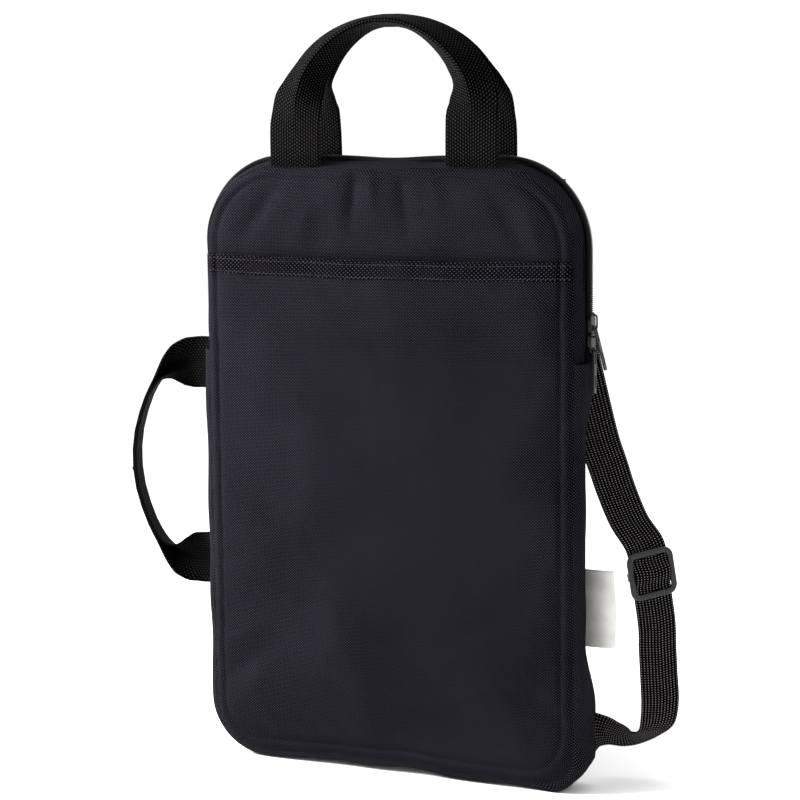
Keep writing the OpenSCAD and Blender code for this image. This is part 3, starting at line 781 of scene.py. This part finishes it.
# Side wall, zip strips and tapes
def makeWalls():
    def waver(s, y):
        fine = 0.3 * mm * (ripple(s, np.full_like(s, y), 31, 45 * mm) - 1)
        broad = 0.5 * mm * (np.sin(s / (11.5 * mm) + y / (9 * mm)) - 1)
        return (fine + broad) * min(1, abs(y) / (8 * mm))

    outer = [(-0.3, -15.6), (0.6, -16.7), (2.2, -16.6), (4.6, -15.2), (6.3, -13.4), (7.0, -11.4),
             (7.0, -6), (7.0, 0), (7.0, 6), (7.0, 11.4), (6.3, 13.4), (4.6, 15.2), (2.2, 16.6),
             (0.6, 16.7), (-0.3, 15.6)]
    inner = [(n - 1.0 if 3 < n else n - 0.2, y * 0.93) for n, y in outer[::-1]]
    section = np.array(outer + inner) * mm
    line = baseLine(3 * mm, body["zipEnd"])
    wall = sweptBand("lowerGusset", line, section, wallCloth, waver)
    settled = settle(np.array([v.co for v in wall.data.vertices]))
    wall.data.vertices.foreach_set("co", settled.astype(np.float32).ravel())
    relaxed(wall)
    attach(wall, "shell")
    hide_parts("lower_gusset")

    strip = np.array([(-0.3, 15.3), (0.3, 16.5), (1.2, 15.6), (2.6, 12.8), (3.9, 10.2), (4.9, 7.9),
                      (5.35, 6.6), (5.1, 6.2), (4.7, 6.5), (4.2, 8.4), (2.6, 11.6), (1.4, 13.4),
                      (0.2, 15.0)]) * mm
    tape = np.array([(3.7, 8.0), (4.1, 8.0), (4.3, 6.0), (4.4, 4.6), (4.4, 0.6), (4.05, 0.6),
                     (4.0, 4.6), (3.95, 6.0)]) * mm
    binding = np.array([(-0.6, 12.3), (-6.6, 12.3), (-6.9, 11.6), (-6.6, 10.9), (-0.9, 10.8),
                        (-0.4, 11.5)]) * mm
    zipRun = zipLine(2.5 * mm, body["zipEnd"])
    tapeRun = zipLine(2.5 * mm, body["zipEnd"] + 6 * mm)
    wholeSeam = seamLine(3 * mm)
    wholeSeam = (np.vstack([wholeSeam[0], wholeSeam[0][:1]]), np.vstack([wholeSeam[1], wholeSeam[1][:1]]))
    for side, where in ((1, "rear"), (-1, "front")):
        flip = np.array([1, side])
        pieces = (
            (sweptBand(where + "ZipStrip", zipRun, strip * flip, wallCloth, waver), "body_fabric"),
            (sweptBand(where + "ZipTape", tapeRun, tape * flip, tapeCloth), "zip_tape"),
            (sweptBand(where + "SeamBinding", wholeSeam, binding * flip, bindingCloth), "binding_tape"))
        nodes = ("zip_strip", "zip_tape", "seam_binding")
        for (piece, slotName), node in zip(pieces, nodes):
            relaxed(piece)
            if side > 0:
                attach(piece, "shell")
                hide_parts("rear_" + node)
            else:
                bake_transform(piece)
                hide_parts("front_%s_lower" % node, "front_%s_upper" % node)


# Zip coils: one loop of wire for each tooth, round a solid core
coil = {"pitch": 1.35 * mm, "wire": 0.42 * mm, "start": 6.5 * mm,
        "loop": [(4.6, 3.45), (6.3, 3.3), (6.9, 2.7), (7.15, 1.7), (7.05, 0.5), (6.5, -0.25), (5.6, -0.35)],
        "core": [(4.7, 0.45), (6.5, 0.45), (6.7, 1.7), (6.4, 2.85), (4.7, 3.0)]}


def makeCoils():
    points, normals = zipLine(1 * mm, body["zipEnd"] + coil["start"])
    s = np.concatenate([[0], np.cumsum(np.linalg.norm(np.diff(points, axis=0), axis=1))])
    loop = smoothThrough(coil["loop"], 10) * mm
    for side, where in ((1, "rear"), (-1, "front")):
        parts = []
        offset = 0 if side > 0 else coil["pitch"] / 2
        for at in np.arange(offset, s[-1] - 0.5 * mm, coil["pitch"]):
            px, pz = np.interp(at, s, points[:, 0]), np.interp(at, s, points[:, 1])
            nx, nz = np.interp(at, s, normals[:, 0]), np.interp(at, s, normals[:, 1])
            path = [(px + nx * n, side * y, pz + nz * n) for n, y in loop]
            parts.append(tube(path, coil["wire"], 6))
        section = np.array(coil["core"]) * mm * (1, side)
        core = sweptBand("core", zipLine(2.5 * mm, body["zipEnd"] + coil["start"]), section, coilPlastic)
        coreFaces = [tuple(f.vertices) for f in core.data.polygons]
        parts.append(([v.co.copy() for v in core.data.vertices], coreFaces))
        bpy.data.objects.remove(core)
        teeth = relaxed(newPiece(where + "ZipCoil", *joined(parts), coilPlastic))
        if side > 0:
            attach(teeth, "shell")
            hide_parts("rear_zip_coil")
        else:
            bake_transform(teeth)
            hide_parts("front_zip_coil_lower", "front_zip_coil_upper")


# Box with rounded edges
def softBox(name, low, high, bevel, material, segments=3):
    low, high = Vector(low), Vector(high)
    corners = [(x, y, z) for x in (low.x, high.x) for y in (low.y, high.y) for z in (low.z, high.z)]
    faces = [(0, 1, 3, 2), (4, 6, 7, 5), (0, 4, 5, 1), (2, 3, 7, 6), (0, 2, 6, 4), (1, 5, 7, 3)]
    piece = newPiece(name, corners, faces, material)
    rounding = piece.modifiers.new("round", "BEVEL")
    rounding.width = bevel
    rounding.segments = segments
    return applied(piece)


def makeEndTabs():
    low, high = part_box("zip_end_tabs")
    wall = body["wallOut"]
    tabs = []
    for side in (-1, 1):
        x0, x1 = sorted((side * (seamX + wall - 2.4 * mm), side * (seamX + wall + 0.3 * mm)))
        tabs.append(softBox("zipEndTab", (x0, low.y, low.z - 0.6 * mm), (x1, high.y, high.z),
                            0.7 * mm, wallCloth))
    both = merged(tabs, "zipEndTabs")
    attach(both, "shell")
    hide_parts("zip_end_tabs")


# Inside: stick sleeves
sleeves = {"count": 4, "fabric": 0.8 * mm, "belly": 0.9 * mm, "tapeThick": 0.4 * mm}


def makeSleeves():
    low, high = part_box("stick_sleeves")
    half, thick = high.x, sleeves["fabric"]
    xs = np.linspace(-half, half, 97)
    zs = np.linspace(low.z, high.z, 60)
    x, z = np.meshgrid(xs, zs)
    cell = half / 2
    belly = np.abs(np.sin((x + half) / cell * math.pi)) ** 0.8
    y = low.y + thick / 2 - sleeves["belly"] * belly * np.clip((z - low.z) / (60 * mm), 0, 1)
    front = gridPiece("stickSleeves", np.stack([x, y, z], 2), liningCloth)
    thickened(front, thick)
    walls = []
    for k in range(sleeves["count"] + 1):
        x0 = -half + thick / 2 + k * (2 * half - thick) / sleeves["count"]
        ys = np.linspace(low.y + thick, high.y, 6)
        grid = [[(x0 + 0.5 * mm * math.sin(zz * 55 + k), yy, zz) for yy in ys]
                for zz in np.linspace(low.z, high.z - 0.5 * mm, 40)]
        walls.append(thickened(gridPiece("sleeveWall", grid, liningCloth), thick))
    merged([front] + walls, "stickSleeves")
    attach(front, "shell")
    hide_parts("stick_sleeves")
    profile = smoothThrough([(-0.9, -8), (-1.0, -4), (-1.0, -0.5), (-0.4, 0.5), (0.5, 0.5),
                             (0.9, -0.5)], 20) * mm
    grid = np.zeros((len(profile), len(xs), 3))
    for k, (dy, dz) in enumerate(profile):
        grid[k, :, 0] = xs
        grid[k, :, 1] = y[-1] + dy
        grid[k, :, 2] = high.z + dz
    tape = gridPiece("sleeveBinding", grid, bindingCloth)
    thickened(tape, sleeves["tapeThick"])
    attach(tape, "shell")
    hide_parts("sleeve_binding")


# Handles
handles = {
    "web": 38 * mm, "thick": 1.5 * mm, "seamY": 17.9 * mm, "foldY": 19.0 * mm, "layerGap": 0.85 * mm,
    "sideLean": 0.27, "stitched": 20 * mm, "stitch": 2.2 * mm,
    # distance from the middle along the seam, distance out from the seam, share folded
    "top": [(66, 0, 0), (66, 14, 0), (66, 30, 0.05), (65.5, 45, 0.22), (61, 60, 0.5), (52.5, 73, 0.6),
            (41, 84, 0.7), (27.5, 92.5, 0.8), (13.5, 97.5, 0.88), (0, 99, 0.9)],
    "side": [(73, -1, 0), (73, 0, 0), (73, 14, 0), (73.5, 27, 0.08), (73, 38, 0.4), (69.5, 48, 0.75),
             (62, 57.5, 0.95), (50, 66, 1), (35, 72.5, 1), (17.5, 77.5, 1), (0, 79, 1)],
}


# Webbing along a route, laid flat at its ends and folded lengthwise in its middle
def foldedWebbing(name, route, place, lean):
    route = np.array(route, float)
    whole = np.vstack([route * (-1, 1, 1), route[-2::-1]])
    path = smoothThrough(whole * (mm, mm, 1), 150)
    tangents = np.gradient(path[:, :2], axis=0)
    tangents /= np.linalg.norm(tangents, axis=1)[:, None]
    grid = []
    for i, ((along, out, fold), (ta, to)) in enumerate(zip(path, tangents)):
        fold = min(1.0, max(0.0, fold))
        alpha = fold * math.pi / 2
        depth = handles["seamY"] + (handles["foldY"] - handles["seamY"]) * fold
        row = []
        for q in np.linspace(-1, 1, 27):
            s = abs(q) * handles["web"] / 2
            bend = min(1, abs(q) / 0.12)
            wide = np.sign(q) * (handles["layerGap"] * fold * bend + s * math.cos(alpha))
            wide += 0.25 * mm * math.sin(i * 0.35 + 3 * q) * (1 - fold) * abs(q)
            back = s * math.sin(alpha) + 0.2 * mm * math.sin(i * 0.21) * fold
            row.append(place(along + to * wide, -depth + back, out - ta * wide - lean * fold * back))
        grid.append(row)
    web = gridPiece(name, grid, gripWebbing)
    return thickened(web, handles["thick"]), path, tangents


# Two rows of stitches on each face of the folded middle
def gripStitches(name, path, tangents, place):
    parts = []
    for i in range(len(path)):
        if abs(path[i][0]) > handles["stitched"] or i % 2:
            continue
        along, out, _ = path[i]
        ta, to = tangents[i]
        lift = handles["layerGap"] + handles["thick"] / 2 + 0.05 * mm
        for inset, sign in ((3.2 * mm, 1), (3.2 * mm, -1), (16.5 * mm, 1), (16.5 * mm, -1)):
            line = []
            for t in (-0.5, -0.25, 0, 0.25, 0.5):
                a = along + ta * t * handles["stitch"] - to * lift * sign
                o = out + to * t * handles["stitch"] + ta * lift * sign
                line.append(place(a, -handles["foldY"] + inset, o))
            parts.append(tube(line, 0.25 * mm, 6))
    return newPiece(name, *joined(parts), threadCloth)


def makeHandles():
    top = seamHigh + 0.5 * mm
    low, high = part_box("side_handle_webbing")
    sideZ = (low.z + high.z) / 2
    out = -seamX - 0.5 * mm
    spots = {
        "front": {"place": lambda a, y, o: (a, y, top + o), "route": "top", "parent": "front_flap",
                  "start": (0, -18 * mm, top - 1 * mm), "end": (0, -18 * mm, top + 9 * mm)},
        "rear": {"place": lambda a, y, o: (a, -y, top + o), "route": "top", "parent": "shell",
                 "start": (0, 18 * mm, top - 1 * mm), "end": (0, 18 * mm, top + 9 * mm)},
        "side": {"place": lambda a, y, o: (-seamX - 1 * mm - o, -y, sideZ + a), "route": "side",
                 "parent": "shell", "start": (out, 18 * mm, sideZ),
                 "end": (out - 9.5 * mm, 18 * mm, sideZ)},
    }
    for where, spot in spots.items():
        place, parent, start, end = spot["place"], spot["parent"], spot["start"], spot["end"]
        lean = handles["sideLean"] if where == "side" else 0
        web, path, tangents = foldedWebbing(where + "HandleWebbing", handles[spot["route"]], place, lean)
        facedOutwards(web)
        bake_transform(web)
        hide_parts(where + "_handle_webbing")
        stitches = gripStitches(where + "HandleStitching", path, tangents, place)
        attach(stitches, where + "_handle")
        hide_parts(where + "_handle_stitching")


# Shoulder strap
strap = {
    "width": 30 * mm, "thick": 1.5 * mm, "layer": 0.85 * mm, "ring": (105, 29, 392),
    "glideTop": (174.4, 29.7, 169), "glideBottom": (182.4, 30.3, 118), "glideTurn": 50, "glideZ": 150.5,
    # middle of the strap, then the turn of its width, down to the tri-glide
    "loop": [((105, 29, 378), 0), ((108, 31.5, 360), 8), ((114.5, 34, 334), 18), ((122.5, 35.4, 301), 30),
             ((130.5, 35.6, 270), 38), ((138.5, 35, 242), 44), ((145.5, 34.3, 224), 47),
             ((152, 33, 207), 49), ((162, 31.6, 186), 50)],
    "run": [((183.7, 29.3, 98), 50), ((185, 28.6, 78), 50)],
    # the soft fold at the bottom: middle, then the direction of its width
    "tail": [((186, 28.3, 60), (0.65, 0.76, -0.03)), ((183.9, 29, 44.5), (0.54, 0.83, -0.17)),
             ((177.6, 30, 36.6), (0.1, 0.95, -0.39)), ((168.2, 30, 32.8), (-0.31, 0.84, -0.56)),
             ((159.5, 28.5, 32.8), (-0.33, 0.7, -0.7)), ((151.5, 25.8, 34.8), (-0.28, 0.6, -0.76)),
             ((145, 22, 36), (-0.18, 0.4, -0.88)), ((139.2, 18.4, 36), (0, 0, -1))],
}


def unit(v):
    v = np.asarray(v, float)
    return v / np.linalg.norm(v)


def turned(angle):
    a = math.radians(angle)
    return (math.cos(a), math.sin(a), 0)


# The tri-glide's middle, and the directions of its width, thickness and height
def glideFrame():
    top, bottom = np.array(strap["glideTop"]), np.array(strap["glideBottom"])
    t = unit(top - bottom)
    w = unit(np.array(turned(strap["glideTurn"])) - t * np.dot(turned(strap["glideTurn"]), t))
    share = (strap["glideZ"] - bottom[2]) / (top[2] - bottom[2])
    return (bottom + (top - bottom) * share) * mm, w, np.cross(w, t), t


# Even steps along sections of (middle, direction of the width)
def ribbonRows(sections, count):
    data = np.array([list(c) + list(w) for c, w in sections], float)
    path = smoothThrough(data, count)
    centres = path[:, :3] * mm
    t = np.gradient(centres, axis=0)
    t /= np.linalg.norm(t, axis=1)[:, None]
    w = path[:, 3:]
    w = w - t * (w * t).sum(1)[:, None]
    w /= np.linalg.norm(w, axis=1)[:, None]
    return centres, w, np.cross(w, t)


def ribbon(name, centres, w, width, material):
    q = np.linspace(-1, 1, 19)
    grid = centres[:, None, :] + w[:, None, :] * q[None, :, None] * width / 2
    return thickened(gridPiece(name, grid, material), strap["thick"])


def makeStrap():
    pos, gw = glideFrame()[:2]
    middle = tuple(pos / mm)
    loop = [(c, turned(a)) for c, a in strap["loop"]]
    down = loop + [(strap["glideTop"], tuple(gw)), (middle, tuple(gw))]
    centres, w, n = ribbonRows(down, 120)
    ringX, ringY, ringZ = (v * mm for v in strap["ring"])
    bar = ringZ - 7.75 * mm
    over = [(ringX, ringY + dy * mm, bar + dz * mm) for dy, dz in
            ((-1.3, -6.5), (-2.3, -3), (-2.6, 0), (-1.9, 2.2), (0, 3.1), (1.9, 2.2), (2.6, 0), (2.3, -3),
             (1.3, -6.5))]
    over = smoothThrough(over, 26)
    keep = centres[:, 2] < bar - 9 * mm
    frontLayer = (centres + n * strap["layer"])[keep][::-1]
    backLayer = (centres - n * strap["layer"])[keep]
    path = np.vstack([frontLayer, over, backLayer])
    widths = np.vstack([w[keep][::-1], np.tile([1.0, 0, 0], (len(over), 1)), w[keep]])
    smooth = path.copy()
    for _ in range(2):
        smooth[1:-1] = (smooth[:-2] + 2 * smooth[1:-1] + smooth[2:]) / 4
    loopPiece = ribbon("strapLoop", smooth, widths, strap["width"], strapWebbing)
    facedOutwards(loopPiece)
    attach(loopPiece, "shoulder_strap")
    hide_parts("strap_loop")

    run = [(middle, tuple(gw)), (strap["glideBottom"], tuple(gw))]
    run += [(c, turned(a)) for c, a in strap["run"]] + list(strap["tail"])
    centres, w, n = ribbonRows(run, 110)
    web = ribbon("strapWebbing", centres, w, strap["width"], strapWebbing)
    facedOutwards(web)
    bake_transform(web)
    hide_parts("strap_webbing")

    lowZ = bar - 8.2 * mm
    parts = []
    stride, tall = 1.5 * mm, 2.2 * mm
    for k in range(17):
        x0 = ringX - 12 * mm + k * stride
        z1 = lowZ + (tall if k % 2 else 0)
        z0 = lowZ + (0 if k % 2 else tall)
        line = [(x0, ringY - 1.95 * mm, z0), (x0 + stride / 2, ringY - 2.1 * mm, (z0 + z1) / 2),
                (x0 + stride, ringY - 1.95 * mm, z1)]
        parts.append(tube(line, 0.3 * mm, 6))
    tack = newPiece("strapBartack", *joined(parts), threadCloth)
    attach(tack, "shoulder_strap")
    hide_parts("strap_bartack")

    ringTop = ringZ + 6 * mm
    wrap = [(ringX, ringY + 2.6 * mm, ringTop + 2 * mm), (ringX, ringY + 2.2 * mm, ringTop - 1.2 * mm),
            (ringX, ringY, ringTop - 1.9 * mm), (ringX, ringY - 2.4 * mm, ringTop - 1.2 * mm),
            (ringX, ringY - 2.9 * mm, ringTop + 2 * mm), (ringX, ringY - 6 * mm, ringTop + 6 * mm),
            (ringX, ringY - 9.6 * mm, ringTop + 10 * mm), (ringX, ringY - 10.4 * mm, ringTop + 16 * mm),
            (ringX, ringY - 10.6 * mm, ringTop + 24 * mm)]
    centres = smoothThrough(wrap, 50)
    w = np.tile([1.0, 0, 0], (len(centres), 1))
    tab = ribbon("strapTopTab", centres, w, strap["width"], strapWebbing)
    facedOutwards(tab)
    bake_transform(tab)
    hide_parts("strap_top_tab")


# Moulded loop: a rounded bar that follows a rounded rectangle in its own plane
def mouldedLoop(w, h, radius, barWide, barThick, sides=14):
    points = []
    for cx, cz, start in ((1, 1, 0), (-1, 1, 1), (-1, -1, 2), (1, -1, 3)):
        for a in np.linspace(start, start + 1, 9) * math.pi / 2:
            points.append((cx * (w / 2 - radius) + radius * math.cos(a),
                           cz * (h / 2 - radius) + radius * math.sin(a)))
    points = np.array(points)
    ahead = np.roll(points, -1, 0) - np.roll(points, 1, 0)
    ahead /= np.linalg.norm(ahead, axis=1)[:, None]
    outwards = np.stack([ahead[:, 1], -ahead[:, 0]], 1)
    grid = np.zeros((len(points), sides, 3))
    for k in range(sides):
        a = 2 * math.pi * k / sides
        ca = np.sign(math.cos(a)) * abs(math.cos(a)) ** 0.6
        sa = np.sign(math.sin(a)) * abs(math.sin(a)) ** 0.6
        grid[:, k, 0] = points[:, 0] + outwards[:, 0] * ca * barWide / 2
        grid[:, k, 2] = points[:, 1] + outwards[:, 1] * ca * barWide / 2
        grid[:, k, 1] = sa * barThick / 2
    return grid


glide = {"wide": 33.2 * mm, "high": 29.2 * mm, "radius": 5 * mm, "rim": 4.2 * mm, "rimThick": 2.6 * mm,
         "lift": 3.2 * mm, "barHalf": 2.9 * mm, "barRound": 1.0 * mm, "web": 27.6 * mm}


def makeHardware():
    pos, gw, gn, gt = glideFrame()

    def inGlide(p):
        p = np.asarray(p, float)
        return pos + p[..., 0:1] * gw - p[..., 1:2] * gn + p[..., 2:3] * gt

    grid = mouldedLoop(glide["wide"], glide["high"], glide["radius"], glide["rim"], glide["rimThick"])
    grid[..., 1] -= glide["lift"]
    rim = gridPiece("triGlideFrame", inGlide(grid), glidePlastic, closeRows=True, closeColumns=True)
    parts = [facedOutwards(rim)]
    turn = Matrix([(gw[k], -gn[k], gt[k], pos[k]) for k in range(3)] + [(0, 0, 0, 1)])
    half = glide["barHalf"]
    for name, x0, x1, y0 in (("triGlideBar", -15, 15, 1.7), ("triGlideCheek", 14.7, 16.4, -4),
                             ("triGlideCheek", -16.4, -14.7, -4)):
        block = softBox(name, (x0 * mm, y0 * mm, -half), (x1 * mm, 3.5 * mm, half), glide["barRound"],
                        glidePlastic)
        block.data.transform(turn)
        parts.append(block)
    whole = merged(parts, "triGlide")
    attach(whole, "tri_glide")
    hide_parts("tri_glide")

    hump = smoothThrough([(0, -2.45, 12), (0, -2.45, 8.5), (0, -3.6, 5.5), (0, -5.1, 2.6), (0, -5.5, 0),
                          (0, -5.1, -2.6), (0, -3.6, -5.5), (0, -2.45, -8.5), (0, -2.45, -12)], 44) * mm
    centres = inGlide(hump)
    web = ribbon("triGlideWebbing", centres, np.tile(gw, (len(centres), 1)), glide["web"], strapWebbing)
    facedOutwards(web)
    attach(web, "tri_glide")

    ringX, ringY, ringZ = (v * mm for v in strap["ring"])
    grid = mouldedLoop(34.7 * mm, 15.6 * mm, 3 * mm, 3.2 * mm, 2.9 * mm) + np.array([ringX, ringY, ringZ])
    ring = gridPiece("strapRing", grid, glidePlastic, closeRows=True, closeColumns=True)
    facedOutwards(ring)
    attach(ring, "shoulder_strap")
    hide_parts("strap_ring")


# Sliders and pulls
# Flat plate with holes and rounded edges, from closed loops of (across, up) points
def cutPlate(name, loops, thickness, edge, matrix, material):
    curve = bpy.data.curves.new(name, "CURVE")
    curve.dimensions = "2D"
    curve.fill_mode = "BOTH"
    curve.extrude = thickness / 2 - edge
    curve.bevel_depth = edge
    curve.bevel_resolution = 2
    for loop in loops:
        spline = curve.splines.new("POLY")
        spline.points.add(len(loop) - 1)
        spline.points.foreach_set("co", [v for a, b in loop for v in (a, b, 0, 1)])
        spline.use_cyclic_u = True
    drawn = bpy.data.objects.new(name + "Outline", curve)
    bpy.context.scene.collection.objects.link(drawn)
    bpy.context.view_layer.update()
    mesh = bpy.data.meshes.new_from_object(drawn.evaluated_get(bpy.context.evaluated_depsgraph_get()))
    mesh.name = name
    bpy.data.objects.remove(drawn)
    mesh.materials.clear()
    mesh.materials.append(material)
    mesh.transform(matrix)
    piece = bpy.data.objects.new(name, mesh)
    bpy.context.scene.collection.objects.link(piece)
    return piece


# Points round a rectangle with rounded corners
def roundedLoop(x0, x1, z0, z1, r, steps=7):
    loop = []
    corners = ((x1 - r, z1 - r, 0), (x0 + r, z1 - r, 1), (x0 + r, z0 + r, 2), (x1 - r, z0 + r, 3))
    for cx, cz, start in corners:
        for a in np.linspace(start, start + 1, steps) * math.pi / 2:
            loop.append((cx + r * math.cos(a), cz + r * math.sin(a)))
    return loop


slider = {"pivotOut": 9.3 * mm, "pivotDrop": 3 * mm, "plateOut": 7.8 * mm, "lowerPlateOut": 3.1 * mm,
          "plateThick": 1.1 * mm, "wire": 0.62 * mm, "lean": {"upper": 15, "lower": 0},
          "pullLength": 30 * mm, "pullHalf": 2.3 * mm, "pullThick": 1.1 * mm,
          # a plate's outline, then the arch of the bridge as (out, along Y)
          "plate": [(-4.3, -6.3), (0, -6.6), (4.3, -6.3), (4.7, -2), (4.6, 1.5), (3.5, 4.8), (1.5, 6.3),
                    (-1.5, 6.3), (-3.5, 4.8), (-4.6, 1.5), (-4.7, -2)],
          "arch": [(7.9, -5.2), (9.6, -5.0), (10.6, -4.1), (10.9, -2.4), (10.9, 2.4), (10.6, 4.1),
                   (9.6, 5.0), (7.9, 5.2)]}


def makeSliders():
    for which in ("lower", "upper"):
        low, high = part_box(which + "_slider_body")
        z = (low.z + high.z) / 2
        up = 1 if which == "upper" else -1
        # plates: across is Y, up is Z, thickness along X
        stand = Matrix(((0, 0, 1, 0), (1, 0, 0, 0), (0, 1, 0, 0), (0, 0, 0, 1)))
        outline = smoothThrough(slider["plate"], 60) * (mm, mm * up)
        parts = []
        for out in (slider["lowerPlateOut"], slider["plateOut"]):
            place = Matrix.Translation((seamX + out, 0, z)) @ stand
            parts.append(cutPlate("plate", [[tuple(p) for p in outline]], slider["plateThick"], 0.35 * mm,
                                  place, sliderMetal))
        for side in (-1, 1):
            y0, y1 = sorted((side * 3.5 * mm, side * 4.6 * mm))
            z0, z1 = sorted((z - 6 * mm * up, z + 1.5 * mm * up))
            parts.append(softBox("lip", (seamX + 5.5 * mm, y0, z0), (seamX + 8 * mm, y1, z1),
                                 0.35 * mm, sliderMetal))
        z0, z1 = sorted((z + 2 * mm * up, z + 5.5 * mm * up))
        parts.append(softBox("post", (seamX + 3.3 * mm, -0.45 * mm, z0), (seamX + 7.6 * mm, 0.45 * mm, z1),
                             0.15 * mm, sliderMetal))
        piece = merged(parts, which + "Slider")
        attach(piece, which + "_slider")
        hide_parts(which + "_slider_body")

        arch = smoothThrough(slider["arch"], 40) * mm
        path = [(seamX + n, 0, z + dz) for n, dz in arch]
        bridge = newPiece(which + "SliderBridge", *tube(path, slider["wire"], 12, 1.2), sliderMetal)
        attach(bridge, which + "_slider")
        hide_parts(which + "_slider_bridge")

        half, long = slider["pullHalf"], slider["pullLength"]
        loops = [roundedLoop(-half, half, -long, 0.7 * mm, 1.2 * mm),
                 roundedLoop(-1.2 * mm, 1.2 * mm, -11 * mm, -0.5 * mm, 0.5 * mm),
                 roundedLoop(-1.05 * mm, 1.05 * mm, -27 * mm, -17.5 * mm, 0.9 * mm)]
        lean = Matrix.Rotation(-math.radians(slider["lean"][which]), 4, "Y")
        place = Matrix.Translation((seamX + slider["pivotOut"], 0, z - slider["pivotDrop"])) @ lean @ stand
        pull = cutPlate(which + "Pull", loops, slider["pullThick"], 0.3 * mm, place, sliderMetal)
        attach(pull, which + "_pull")
        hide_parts(which + "_pull_tab")


# Label: a folded ribbon, its outer edge a little bowed and waved
label = {"flatWidth": 37 * mm, "thick": 0.22 * mm, "bow": 0.07, "wave": 1.1 * mm, "shown": 17 * mm,
         "fold": [(-9, -0.4), (5, -0.5), (11, -0.3), (16.6, 0.5), (17.3, 0.9), (16.7, 1.3), (11, 0.55),
                  (5, 0.3), (-9, 0.3)]}


def makeLabel():
    low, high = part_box("side_label")
    profile = smoothThrough(label["fold"], 70) * mm
    grid = []
    for z in np.linspace(low.z, high.z, 40):
        bow = label["bow"] * math.sin((high.z - z) * 48)
        wave = label["wave"] * math.sin((z - low.z) * 85) / label["shown"]
        grid.append([(low.x + out * (1 + bow * (out > 0)), low.y - 0.2 * mm + back + wave * out, z)
                     for out, back in profile])
    ribbonPiece = gridPiece("sideLabel", grid, labelSatin)
    thickened(ribbonPiece, label["thick"])
    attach(ribbonPiece, "shell")
    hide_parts("side_label")


# Floor, light and camera
studio = {"floorHalf": 6, "floorColour": (250, 250, 250), "sky": 1.05, "aim": (0, 0, 0.25),
          # name, place, size and power of each lamp
          "lamps": (("key", (-0.7, -0.42, 0.62), 0.35, 34), ("top", (0.1, 0.2, 2.4), 1.2, 12),
                    ("back", (0.6, 2.2, 1.4), 1.4, 10))}


def makeStudio():
    bpy.context.scene.view_settings.view_transform = "Standard"
    paper = Shader("floorPaper")
    finish = paper.surface(colour=linear(studio["floorColour"]), roughness=0.9, specular=0.1)
    half = studio["floorHalf"]
    corners = [(-half, -half, 0), (half, -half, 0), (half, half, 0), (-half, half, 0)]
    floor = newPiece("floor", corners, [(0, 1, 2, 3)], finish, False)
    world = bpy.data.worlds.new("studio")
    bpy.context.scene.world = world
    world.use_nodes = True
    sky = world.node_tree.nodes["Background"]
    sky.inputs["Color"].default_value = (1, 1, 1, 1)
    sky.inputs["Strength"].default_value = studio["sky"]
    for name, place, size, power in studio["lamps"]:
        light = bpy.data.lights.new(name, "AREA")
        light.size = size
        light.energy = power
        lamp = bpy.data.objects.new(name, light)
        lamp.location = place
        lamp.rotation_euler = (Vector(studio["aim"]) - Vector(place)).to_track_quat("-Z", "Y").to_euler()
        bpy.context.scene.collection.objects.link(lamp)


view = {"place": (617.6, -1400.8, 488.3), "towards": (-0.3973, 0.9065, -0.1430), "roll": 0.63, "lens": 99}


def makeCamera():
    camera = bpy.data.cameras.new("camera")
    camera.lens = view["lens"]
    camera.sensor_width = 36
    seen = bpy.data.objects.new("camera", camera)
    ahead = Vector(view["towards"]).normalized()
    turn = ahead.to_track_quat("-Z", "Y").to_matrix()
    roll = Matrix.Rotation(math.radians(view["roll"]), 3, ahead)
    seen.matrix_world = Matrix.Translation(Vector(view["place"]) * mm) @ (roll @ turn).to_4x4()
    bpy.context.scene.collection.objects.link(seen)
    bpy.context.scene.camera = seen


makeCamera()
makeFrontPanel()
makeBackPanel()
print("padded panels made")
makePocket()
print("pocket made")
makeWalls()
makeCoils()
makeEndTabs()
print("walls and zip made")
makeSleeves()
makeHandles()
print("handles made")
makeStrap()
makeHardware()
makeSliders()
makeLabel()
print("strap, hardware and label made")
makeStudio()

bpy.context.view_layer.update()
